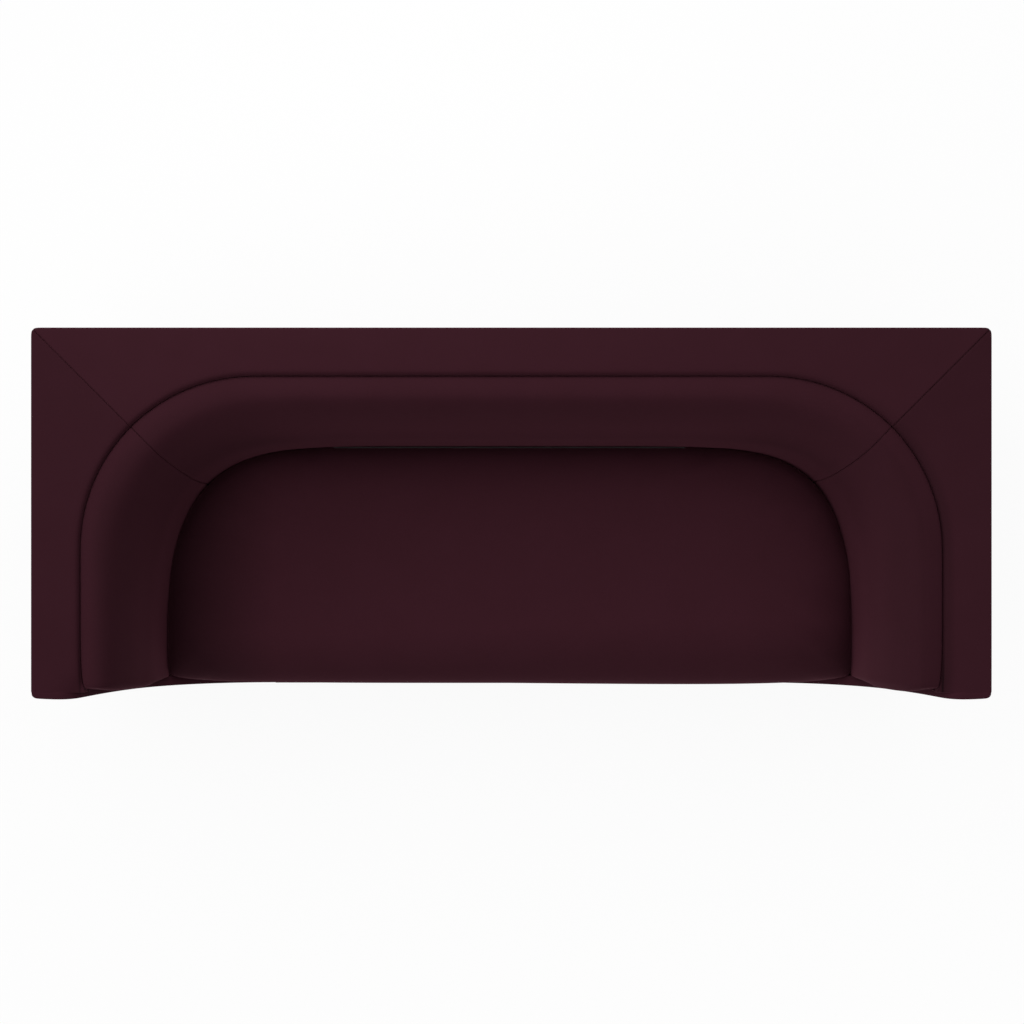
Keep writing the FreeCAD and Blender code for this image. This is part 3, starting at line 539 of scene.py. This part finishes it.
columns = [(HALF_WIDTH, FACING_SIDE, (-1.0, 0.0), 0.0, 0.0, 0.0)]
for angle in (90, 72, 54, 36, 18):
    sine, cosine = math.sin(math.radians(angle)), math.cos(math.radians(angle))
    columns.append((HALF_WIDTH - FRONT_CORNER * (1 - sine), -HALF_DEPTH + FRONT_CORNER * (1 - cosine),
                    (-sine, cosine), 0.0, 0.0, 0.0))
edge_line = [(inside, 0.0, 0.0) for inside in (FRONT_CORNER, 0.028, 0.045)]
for angle in range(0, 71, 14):
    turn = math.radians(angle)
    edge_line.append((SHOULDER_START + SHOULDER_RADIUS * math.sin(turn),
                      SHOULDER_RADIUS - SHOULDER_RADIUS * math.cos(turn), turn))
edge_line += [(inside, facing_drop(inside), SLOPE) for inside in (0.124, 0.141, 0.157)]
for angle in range(70, -1, -10):
    turn = math.radians(angle)
    edge_line.append((SWEEP_END - SWEEP_RADIUS * math.sin(turn),
                      SWEEP_DROP + SWEEP_RADIUS * math.cos(turn), turn))
edge_line += [(FACING_END - gap, SWEEP_DROP + SWEEP_RADIUS, 0.0) for gap in (0.005, 0.0025, 0.001, 0.0)]
for inside, drop, tilt in edge_line:
    columns.append((HALF_WIDTH - inside, -HALF_DEPTH, (0.0, 1.0), inside, drop, tilt))
rings = [(0.024, 0.004, 0.0), (0.015, 0.0004, 0.0)]
rings += [(inset / 1000, fall / 1000, 0.0) for inset, fall in EDGE_ROLL[::-1]]
rings += [(0.0, 0.012, share) for share in (0.04, 0.15, 0.35, 0.55, 0.75, 0.9, 0.98, 0.995)]
rings += [(inset, 0.012, 1.0) for inset in (0.0005, 0.003, 0.012)]
facing_right = laid_panel("facing_right", columns, rings, facing_place)
face_out(facing_right, (0, -1, 0))
apply_modifier(facing_right, 'SUBSURF', levels=2, render_levels=2, boundary_smooth='PRESERVE_CORNERS')
apply_modifier(facing_right, 'SOLIDIFY', thickness=VELVET_THICKNESS, offset=-1)
facing_left = other_side(facing_right, "facing_left")
finish_piece(facing_right, velvet, "velvet", "frame", "facing_cover_right")
finish_piece(facing_left, velvet, "velvet", "frame", "facing_cover_left")


# Outside panels: velvet stretched flat over the sides, round the back and over the front rail, blind-tacked
# along the top under the rim and hemmed under the bottom. Their edges roll into the seams beside them.
PANEL_TOP, DECK_TOP = 0.7265, 0.305
ARM_INNER, ARM_FRONT, ARM_BACK = 1.059, -0.3918, 0.3983
BACK_INNER, BACK_ROLL = 0.3985, 0.0138
# the front border's ends tuck under the rolled ends of the facings
BORDER_END, BORDER_ROLL = HALF_WIDTH - FACING_END + 0.0015, 0.009
# an edge this near a line counts as on it
NEAR = 0.0005


def level(a, b):
    """Whether an edge between two points is level."""
    return abs(a.z - b.z) < 1e-6


def bevel_edges(piece, chosen, width, segments):
    """Round the edges of a piece that chosen accepts, by their two ends."""
    pick(piece)
    bpy.ops.object.mode_set(mode='EDIT')
    bpy.ops.mesh.select_mode(type='EDGE')
    bpy.ops.mesh.select_all(action='DESELECT')
    bpy.ops.object.mode_set(mode='OBJECT')
    points = [vertex.co.copy() for vertex in piece.data.vertices]
    for edge in piece.data.edges:
        edge.select = chosen(points[edge.vertices[0]], points[edge.vertices[1]])
    bpy.ops.object.mode_set(mode='EDIT')
    bpy.ops.mesh.bevel(offset=width, segments=segments, profile=0.5, affect='EDGES', clamp_overlap=False)
    bpy.ops.object.mode_set(mode='OBJECT')


def block(name, low, high):
    """Plain block between two corners, to be shaped."""
    bpy.ops.object.select_all(action='DESELECT')
    middle = [(a + b) / 2 for a, b in zip(low, high)]
    bpy.ops.mesh.primitive_cube_add(size=1, location=middle)
    piece = bpy.context.object
    piece.name = piece.data.name = name
    bpy.ops.transform.resize(value=[b - a for a, b in zip(low, high)], center_override=middle)
    bpy.ops.object.transform_apply(location=True, rotation=True, scale=True)
    return piece


def open_back(piece, inwards):
    """Take away the faces of a block that look inwards, and make velvet of the rest."""
    pick(piece)
    bpy.ops.object.mode_set(mode='EDIT')
    bpy.ops.mesh.select_mode(type='FACE')
    bpy.ops.mesh.select_all(action='DESELECT')
    bpy.ops.object.mode_set(mode='OBJECT')
    for face in piece.data.polygons:
        face.select = face.normal.dot(Vector(inwards)) > 0.9
    bpy.ops.object.mode_set(mode='EDIT')
    bpy.ops.mesh.delete(type='FACE')
    bpy.ops.object.mode_set(mode='OBJECT')
    apply_modifier(piece, 'SOLIDIFY', thickness=VELVET_THICKNESS, offset=-1)
    apply_modifier(piece, 'WEIGHTED_NORMAL', keep_sharp=True)


arm_right = block("outside_arm_right", (ARM_INNER, ARM_FRONT, BOTTOM), (HALF_WIDTH, ARM_BACK, PANEL_TOP))
bevel_edges(arm_right, lambda a, b: min(a.x, b.x) > ARM_INNER + NEAR, SEAM_ROLL, 4)
open_back(arm_right, (-1, 0, 0))
arm_left = other_side(arm_right, "outside_arm_left")
back = block("outside_back", (-HALF_WIDTH, BACK_INNER, BOTTOM), (HALF_WIDTH, HALF_DEPTH, PANEL_TOP))
bevel_edges(back, lambda a, b: min(a.y, b.y) > HALF_DEPTH - NEAR and a.x == b.x, BACK_ROLL, 8)
bevel_edges(back, lambda a, b: level(a, b) and max(a.y, b.y) > BACK_INNER + NEAR, SEAM_ROLL, 4)
open_back(back, (0, -1, 0))
front = block("front_border", (-BORDER_END, -HALF_DEPTH, BOTTOM), (BORDER_END, FRONT, DECK_TOP))
foremost = NEAR - HALF_DEPTH
flat_top = DECK_TOP - BORDER_ROLL - NEAR
bevel_edges(front, lambda a, b: max(a.y, b.y) < foremost and min(a.z, b.z) > DECK_TOP - NEAR, BORDER_ROLL, 6)
bevel_edges(front, lambda a, b: max(a.y, b.y) < foremost and (a.z + b.z) / 2 < flat_top, SEAM_ROLL, 4)
open_back(front, (0, 1, 0))
finish_piece(arm_right, velvet, "velvet", "frame", "outside_arm_cover_right")
finish_piece(arm_left, velvet, "velvet", "frame", "outside_arm_cover_left")
finish_piece(back, velvet, "velvet", "frame", "outside_back_cover")
finish_piece(front, velvet, "velvet", "frame", "front_border_cover")


# Deck: thin foam under platform cloth, flush with the pad's shelf, with a strip of velvet along its front
# edge. The cloth is a plain close weave of dull brown-red yarn.
deck_cloth, surface = start_material("platform_cloth")
place = add_node(deck_cloth, "TexCoord").outputs["Object"]
# yarns drawn 2.5 mm apart, because the real 0.6 mm weave is too fine to show
warp = add_node(deck_cloth, "TexWave", {"Vector": place, "Scale": 64.0}, bands_direction='X').outputs["Fac"]
weft = add_node(deck_cloth, "TexWave", {"Vector": place, "Scale": 64.0}, bands_direction='Y').outputs["Fac"]
weave = add_node(deck_cloth, "Math", {0: warp, 1: weft}, operation='MULTIPLY').outputs["Value"]
yarn = add_node(deck_cloth, "Mix", {0: weave, 6: colour("#2A171A"), 7: colour("#463034")}, data_type='RGBA')
relief = add_node(deck_cloth, "Bump", {"Height": weave, "Strength": 0.4, "Distance": 0.0006})
add_node(deck_cloth, surface, {"Base Color": yarn.outputs[2], "Roughness": 0.9,
                               "Normal": relief.outputs["Normal"]})
DECK_HALF, DECK_BACK, DECK_LOW = 0.8148, 0.1603, 0.287
DECK_SEAM, DECK_SEAM_DEPTH = -0.285, 0.002
DECK_EDGE = 0.002


def cut_across(piece, axis, places):
    """Cut lines round a piece where planes across an axis meet it."""
    pick(piece)
    bpy.ops.object.mode_set(mode='EDIT')
    for line in places:
        bpy.ops.mesh.select_all(action='SELECT')
        bpy.ops.mesh.bisect(plane_co=Vector(axis) * line, plane_no=axis)
    bpy.ops.object.mode_set(mode='OBJECT')


deck = block("deck", (-DECK_HALF, FRONT, DECK_LOW), (DECK_HALF, DECK_BACK, DECK_TOP))
bevel_edges(deck, lambda a, b: min(a.y, b.y) > DECK_BACK - NEAR and a.x == b.x, SEAT_RADIUS, 24)
bevel_edges(deck, lambda a, b: min(a.z, b.z) > DECK_TOP - NEAR and max(a.y, b.y) < FRONT + NEAR, DECK_EDGE, 3)
cut_across(deck, (0, 1, 0), (DECK_SEAM - SEAM_GROOVE, DECK_SEAM, DECK_SEAM + SEAM_GROOVE))
for vertex in deck.data.vertices:
    if abs(vertex.co.y - DECK_SEAM) < NEAR and vertex.co.z > DECK_TOP - NEAR:
        vertex.co.z -= DECK_SEAM_DEPTH
finish_piece(deck, deck_cloth, "deck_cloth", "frame", "deck_pad")
deck.data.materials.append(velvet)
for face in deck.data.polygons:
    face.material_index = 1 if face.center.y < DECK_SEAM else 0


# Seat cushion: one long D-shaped foam cushion in a boxed velvet cover, zipped along the back and loose on
# the deck. It is crowned in the middle, and its front bows out a little between the corners.
SEAT_HALF, SEAT_BACK, SEAT_FRONT = 0.8143, 0.1597, -0.4065
SEAT_MIDDLE = Vector((SEAT_HALF - SEAT_RADIUS, SEAT_BACK - SEAT_RADIUS))
SEAT_LOW, SEAT_HIGH = 0.3056, 0.446
SEAT_ROLL, SEAT_ROLL_DROP, FRONT_ROLL_LINE = 0.115, 0.058, -0.402
# the block that it starts from, the radii of its front corners and edges, and where its cover comes loose
BLOCK_HALF, BLOCK_FRONT, BLOCK_BACK = 0.8141, -0.399, 0.1595
BLOCK_CORNER, BLOCK_EDGE = 0.016, 0.014
LOOSE_LEVEL, LOOSE_FADE = 0.425, 0.03
CLOTH_RISE = 0.012
# how far the front bows out, how much further on the right, and where the bow starts, its reach and height
FRONT_BOW, FRONT_LEAN = 0.008, 0.0074
BOW_START, BOW_REACH, BOW_HEIGHT = -0.33, 0.07, 0.134
BOXING_SEAM, BOXING_SEAM_DEPTH = 0.334, 0.004
ZIP_LEVEL, ZIP_HALF = 0.3725, 0.42
SLOT_HALF, SLOT_LIP, SLOT_FLOOR = 0.008, 0.0013, 0.1535


def seat_gap(point):
    """Distance of a plan place from the cushion's sides and back."""
    away = Vector((abs(point.x) - SEAT_HALF + SEAT_RADIUS, point.y - SEAT_BACK + SEAT_RADIUS))
    return SEAT_RADIUS - (away.length if min(away) > 0 else max(away))


def seat_fall(point):
    """How far the top of the cushion rolls down towards its edges at a plan place."""
    gaps = (seat_gap(point), point.y - FRONT_ROLL_LINE)
    side, front = [rolled(max(gap, 0.0), SEAT_ROLL) * SEAT_ROLL_DROP / SEAT_ROLL for gap in gaps]
    return min(math.hypot(side, front), SEAT_ROLL_DROP * 1.15)


def seat_room(point):
    """How far past its plain D the seat can reach at a point: further only higher up, less at any height."""
    away = Vector((abs(point.x), point.y)) - SEAT_MIDDLE
    if away.x > 0 and away.y > 0:
        run = ARM_RUN + SEAM_RADIUS * math.atan2(away.y, away.x)
    elif away.x > 0:
        run = ARM_RUN * max(point.y - FRONT, 0.0) / (SEAT_MIDDLE.y - FRONT)
    else:
        run = MIDDLE_RUN - (MIDDLE_RUN - ARM_RUN - CORNER_RUN) * abs(point.x) / SEAT_MIDDLE.x
    room = pad_recess(run, point.x > 0)
    return room * clamp((point.z - 0.32) / 0.06) if room > 0 else room


def seat_fill(point):
    """Fill the seat out into the pad's recess near its edge."""
    away = Vector((max(abs(point.x) - SEAT_MIDDLE.x, 0.0), max(point.y - SEAT_MIDDLE.y, 0.0)))
    if away.length > 0:
        away *= seat_room(point) * clamp(1 - seat_gap(point) / 0.10) / away.length
    return point + Vector((math.copysign(away.x, point.x), away.y, 0))


def front_lean(x):
    """How much further the seat's front bows out on the right."""
    share = max(x / SEAT_HALF, 0.0)
    return FRONT_LEAN * share * max(1 - share ** 4, 0.0)


def seat_hold(point):
    """Keep a point of the seat inside the pad's curve, behind its bowed front and above the deck."""
    x, y, z = abs(point.x), point.y, max(point.z, SEAT_LOW)
    room = seat_room(point)
    away = Vector((x, y)) - SEAT_MIDDLE
    if away.x > 0 and away.y > 0 and away.length > SEAT_RADIUS + room:
        x, y = SEAT_MIDDLE + away * ((SEAT_RADIUS + room) / away.length)
    corner = (0.003 if point.x > 0 else 0.010) * math.exp((FRONT - y) / 0.022)
    x, y = min(x, SEAT_HALF + room - corner), min(y, SEAT_BACK + room)
    line = SEAT_FRONT + 0.0095 * (x / SEAT_HALF) ** 4 + 0.012 * (x / SEAT_HALF) ** 18
    y = max(y, line - front_lean(point.x))
    return Vector((math.copysign(x, point.x), y, z))


def seat_shading(point):
    """Painted light and shade on the seat: lighter in the middle, darker over the front roll, and a painted
    shadow at the sides, deep beside the left arm.
    """
    roll = 0.0175 * min(max(point.x / 0.4, -1.0), 1.0) - 0.2675
    front = clamp((roll - point.y) / 0.09)
    side = clamp(1 - (SEAT_HALF - abs(point.x)) / 0.26)
    # painted shadow from the arms, far deeper beside the left
    beside = 3.75 if point.x < 0 else 0.45 + 0.8 * front
    return min(1.2 * front + beside * side, 3.25) - 1.05


seat = block("seat_cushion_cover", (-BLOCK_HALF, BLOCK_FRONT, SEAT_LOW), (BLOCK_HALF, BLOCK_BACK, SEAT_HIGH))
bevel_edges(seat, lambda a, b: min(a.y, b.y) > BLOCK_BACK - NEAR and a.x == b.x, SEAT_RADIUS, 24)
bevel_edges(seat, lambda a, b: max(a.y, b.y) < BLOCK_FRONT + NEAR and a.x == b.x, BLOCK_CORNER, 4)
bevel_edges(seat, level, BLOCK_EDGE, 4)
apply_modifier(seat, 'REMESH', mode='VOXEL', voxel_size=0.010)
apply_modifier(seat, 'SMOOTH', iterations=4)
held = seat.vertex_groups.new(name="held_by_foam")
for vertex in seat.data.vertices:
    held.add([vertex.index], clamp((LOOSE_LEVEL - vertex.co.z) / LOOSE_FADE), 'REPLACE')
    share = (vertex.co.z - SEAT_LOW) / (SEAT_HIGH - SEAT_LOW)
    vertex.co.z -= seat_fall(vertex.co) * share
    vertex.co = seat_fill(vertex.co)
start = [vertex.co.copy() for vertex in seat.data.vertices]
cover = seat.modifiers.new("cover", 'CLOTH')
cover.settings.quality = 5
cover.settings.mass = 0.3
cover.settings.tension_stiffness = cover.settings.compression_stiffness = 15
cover.settings.bending_stiffness = 1.0
cover.settings.vertex_group_mass = held.name
cover.settings.use_pressure = True
cover.settings.uniform_pressure_force = 0.8
cover.settings.effector_weights.gravity = 0
cover.collision_settings.use_collision = False
cover.point_cache.frame_end = 20
for step in range(1, 21):
    bpy.context.scene.frame_set(step)
puffed = seat.evaluated_get(bpy.context.evaluated_depsgraph_get()).to_mesh()
swollen = [vertex.co.copy() for vertex in puffed.vertices]
seat.modifiers.remove(cover)
bpy.context.scene.frame_set(1)
# the foam lets the cover rise no further than this, in the proportions that the pressure gives
give = CLOTH_RISE / max((new - old).length for old, new in zip(start, swollen))
for vertex, old, new in zip(seat.data.vertices, start, swollen):
    bow = max(1 - (old.x / 0.8) ** 6, 0) * max((BOW_START - old.y) / BOW_REACH, 0)
    bow *= math.sin(math.pi * (old.z - DECK_TOP) / BOW_HEIGHT)
    bow = (FRONT_BOW + front_lean(old.x)) * max(bow, 0)
    vertex.co = seat_hold(old + (new - old) * give - Vector((0, bow, 0)))
# the boxing's lower seam draws the cover in all round
cut_across(seat, (0, 0, 1), [BOXING_SEAM + gap for gap in (-0.005, -0.0015, 0.0015, 0.005)])
for vertex in seat.data.vertices:
    if abs(vertex.co.z - BOXING_SEAM) < 0.002:
        vertex.co -= Vector((vertex.normal.x, vertex.normal.y, 0)) * BOXING_SEAM_DEPTH
# a slot along the back leaves the zip open to view
for axis, middle, half in (((0, 0, 1), ZIP_LEVEL, SLOT_HALF), ((1, 0, 0), 0.0, ZIP_HALF)):
    cut_across(seat, axis, [middle + gap for gap in (-half - SLOT_LIP, -half, half, half + SLOT_LIP)])
for vertex in seat.data.vertices:
    x, y, z = abs(vertex.co.x), vertex.co.y, abs(vertex.co.z - ZIP_LEVEL)
    if x < ZIP_HALF + NEAR and z < SLOT_HALF + NEAR and y > 0.15:
        vertex.co.y = SLOT_FLOOR
apply_modifier(seat, 'SUBSURF', levels=1, render_levels=1)
paint_shading(seat, seat_shading)
finish_piece(seat, velvet, "velvet", "seat_cushion", "seat_cover", "seat_foam")


# Zip: a coil of dark nylon on woven tape along the back of the cover, closed by a small cast slider.
# The tape is ribbed and slightly glossy, the slider blackened and worn.
zip_tape, surface = start_material("woven_nylon_tape")
place = add_node(zip_tape, "TexCoord").outputs["Object"]
coils = add_node(zip_tape, "TexWave", {"Vector": place, "Scale": 105.0}, bands_direction='X').outputs["Fac"]
ribs = add_node(zip_tape, "Mix", {0: coils, 6: colour("#1C1013"), 7: colour("#3A2429")}, data_type='RGBA')
ridge = add_node(zip_tape, "Bump", {"Height": coils, "Strength": 0.6, "Distance": 0.0008}).outputs["Normal"]
add_node(zip_tape, surface, {"Base Color": ribs.outputs[2], "Roughness": 0.45, "Normal": ridge})
dress(zip_tape, "zip_chain")
blackened, surface = start_material("blackened_zinc_casting")
place = add_node(blackened, "TexCoord").outputs["Object"]
# worn spots about 1 mm across
worn = add_node(blackened, "TexNoise", {"Vector": place, "Scale": 900.0, "Detail": 3.0}).outputs["Fac"]
cast = add_node(blackened, "Mix", {0: worn, 6: colour("#231F20"), 7: colour("#4A4545")}, data_type='RGBA')
dull = add_node(blackened, "MapRange", {"Value": worn, "To Min": 0.6, "To Max": 0.4}).outputs["Result"]
add_node(blackened, surface, {"Base Color": cast.outputs[2], "Metallic": 1.0, "Roughness": dull})
dress(blackened, "zip_slider")


# Dust cover: black spun-bonded lining stapled under the frame, pulled flat but sagging slightly between the
# rails. It is matte, embossed all over with small dots.
lining, surface = start_material("spun_bonded_lining")
place = add_node(lining, "TexCoord").outputs["Object"]
# embossed dots drawn 3 mm apart, because the real 1 mm dots are too fine to show
dots = add_node(lining, "TexVoronoi", {"Vector": place, "Scale": 330.0}).outputs["Distance"]
spun = add_node(lining, "Mix", {0: dots, 6: colour("#0E0E10"), 7: colour("#26262A")}, data_type='RGBA')
press = add_node(lining, "Bump", {"Height": dots, "Strength": 0.3, "Distance": 0.0006}).outputs["Normal"]
add_node(lining, surface, {"Base Color": spun.outputs[2], "Roughness": 0.9, "Normal": press})
DUST_SIZE, DUST_LEVEL, DUST_THICKNESS = (2.112, 0.803, 1), 0.1104, 0.0006
DUST_BAY, DUST_SAG = 0.534, 0.004
bpy.ops.object.select_all(action='DESELECT')
bpy.ops.mesh.primitive_grid_add(x_subdivisions=64, y_subdivisions=24, size=1, location=(0, 0, DUST_LEVEL))
dust = bpy.context.object
dust.name = dust.data.name = "dust_lining"
bpy.ops.transform.resize(value=DUST_SIZE, center_override=dust.location)
bpy.ops.object.transform_apply(location=True, rotation=True, scale=True)
for vertex in dust.data.vertices:
    bay = abs(math.sin(math.pi * (vertex.co.x + DUST_BAY / 2) / DUST_BAY))
    vertex.co.z -= DUST_SAG * bay * math.cos(math.pi * min(abs(vertex.co.y) / 0.8, 0.5)) ** 2
apply_modifier(dust, 'SOLIDIFY', thickness=DUST_THICKNESS, offset=1)
finish_piece(dust, lining, "lining", "frame", "dust_cover")


# Feet: turned tapering feet of beech stained dark brown, bolted up into the blocks, with nylon glides under
# them. The stain leaves the grain darker along the foot, under a thin satin lacquer.
stained, surface = start_material("stained_beech")
place = add_node(stained, "TexCoord").outputs["Object"]
grain = add_node(stained, "Mapping", {"Vector": place, "Scale": (220, 220, 14)}).outputs["Vector"]
streak = add_node(stained, "TexNoise", {"Vector": grain, "Scale": 1.0, "Detail": 4.0}).outputs["Fac"]
stain = add_node(stained, "Mix", {0: streak, 6: colour("#2A170E"), 7: colour("#5A3622")}, data_type='RGBA')
pores = add_node(stained, "Bump", {"Height": streak, "Strength": 0.15, "Distance": 0.0008})
add_node(stained, surface, {"Base Color": stain.outputs[2], "Roughness": 0.5, "Specular IOR Level": 0.3,
                            "Coat Weight": 0.08, "Coat Roughness": 0.3, "Normal": pores.outputs["Normal"]})
glide_nylon, surface = start_material("moulded_nylon")
place = add_node(glide_nylon, "TexCoord").outputs["Object"]
scuff = add_node(glide_nylon, "TexNoise", {"Vector": place, "Scale": 400.0, "Detail": 3.0}).outputs["Fac"]
nylon = add_node(glide_nylon, "Mix", {0: scuff, 6: colour("#2B2A29"), 7: colour("#454341")},
                 data_type='RGBA')
add_node(glide_nylon, surface, {"Base Color": nylon.outputs[2], "Roughness": 0.5})
dress(stained, *[f"foot_{end}_{side}" for end in ("front", "back") for side in ("left", "centre", "right")])
dress(glide_nylon, "foot_glides")


# Studio: a plain white floor that keeps a faint shadow, under a soft dome that is brightest high up towards
# the back left, with a long faint lamp behind. The camera is straight above, a little left of the middle.
scene = bpy.context.scene
scene.view_settings.view_transform = 'Standard'
world = bpy.data.worlds.new("studio")
world.use_nodes = True
scene.world = world
white_floor, surface = start_material("white_floor")
# what the camera and reflections see of the dome and the floor is white, apart from how they light the sofa
seen = {}
for owner in (world, white_floor):
    paths = add_node(owner, "LightPath").outputs
    rays = paths["Is Camera Ray"]
    for kind in ("Is Glossy Ray", "Is Transmission Ray"):
        rays = add_node(owner, "Math", {0: rays, 1: paths[kind]}, operation='MAXIMUM').outputs["Value"]
    seen[owner.name] = rays

direction = add_node(world, "TexCoord").outputs["Generated"]
towards = add_node(world, "VectorMath", {0: direction, 1: (-0.60, 0.40, 0.69)}, operation='DOT_PRODUCT')
soft = add_node(world, "Math", {0: towards.outputs["Value"], 1: 0.93, 2: 0.475}, operation='MULTIPLY_ADD')
soft = add_node(world, "Math", {0: soft.outputs["Value"], 1: 0.02}, operation='MAXIMUM').outputs["Value"]
shown = add_node(world, "MapRange", {"Value": seen["studio"], "To Min": soft, "To Max": 1.0})
add_node(world, world.node_tree.nodes["Background"],
         {"Color": (1, 1, 1, 1), "Strength": shown.outputs["Result"]})

add_node(white_floor, surface, {"Base Color": (0.9, 0.9, 0.9, 1), "Roughness": 0.9})
# the share left over shows the shadow
part = add_node(white_floor, "Math", {0: seen["white_floor"], 1: 0.92}, operation='MULTIPLY').outputs["Value"]
glow = add_node(white_floor, "Emission", {"Color": (1, 1, 1, 1), "Strength": 1.0})
mixed = add_node(white_floor, "MixShader", {0: part, 1: surface.outputs[0], 2: glow.outputs[0]})
add_node(white_floor, white_floor.node_tree.nodes["Material Output"], {"Surface": mixed.outputs[0]})
bpy.ops.object.select_all(action='DESELECT')
bpy.ops.mesh.primitive_plane_add(size=30, location=(0, 0, -0.0005))
floor = bpy.context.object
floor.name = "floor"
floor.data.materials.append(white_floor)

bpy.ops.object.light_add(type='AREA', location=(-0.5, 1.5, 1.25))
lamp = bpy.context.object
lamp.data.shape = 'RECTANGLE'
lamp.data.size, lamp.data.size_y = 1.6, 0.4
lamp.data.energy = 8
lamp.visible_camera = False
lamp.rotation_euler = (Vector((0, 0.1, 0.7)) - lamp.location).to_track_quat('-Z', 'Y').to_euler()

bpy.ops.object.camera_add(location=(-0.0512, 0.0026, 5.342), rotation=(0, 0, 0))
scene.camera = bpy.context.object
scene.camera.data.sensor_width = 36
scene.camera.data.lens = 72.91
scene.camera.data.shift_x = 0.02315
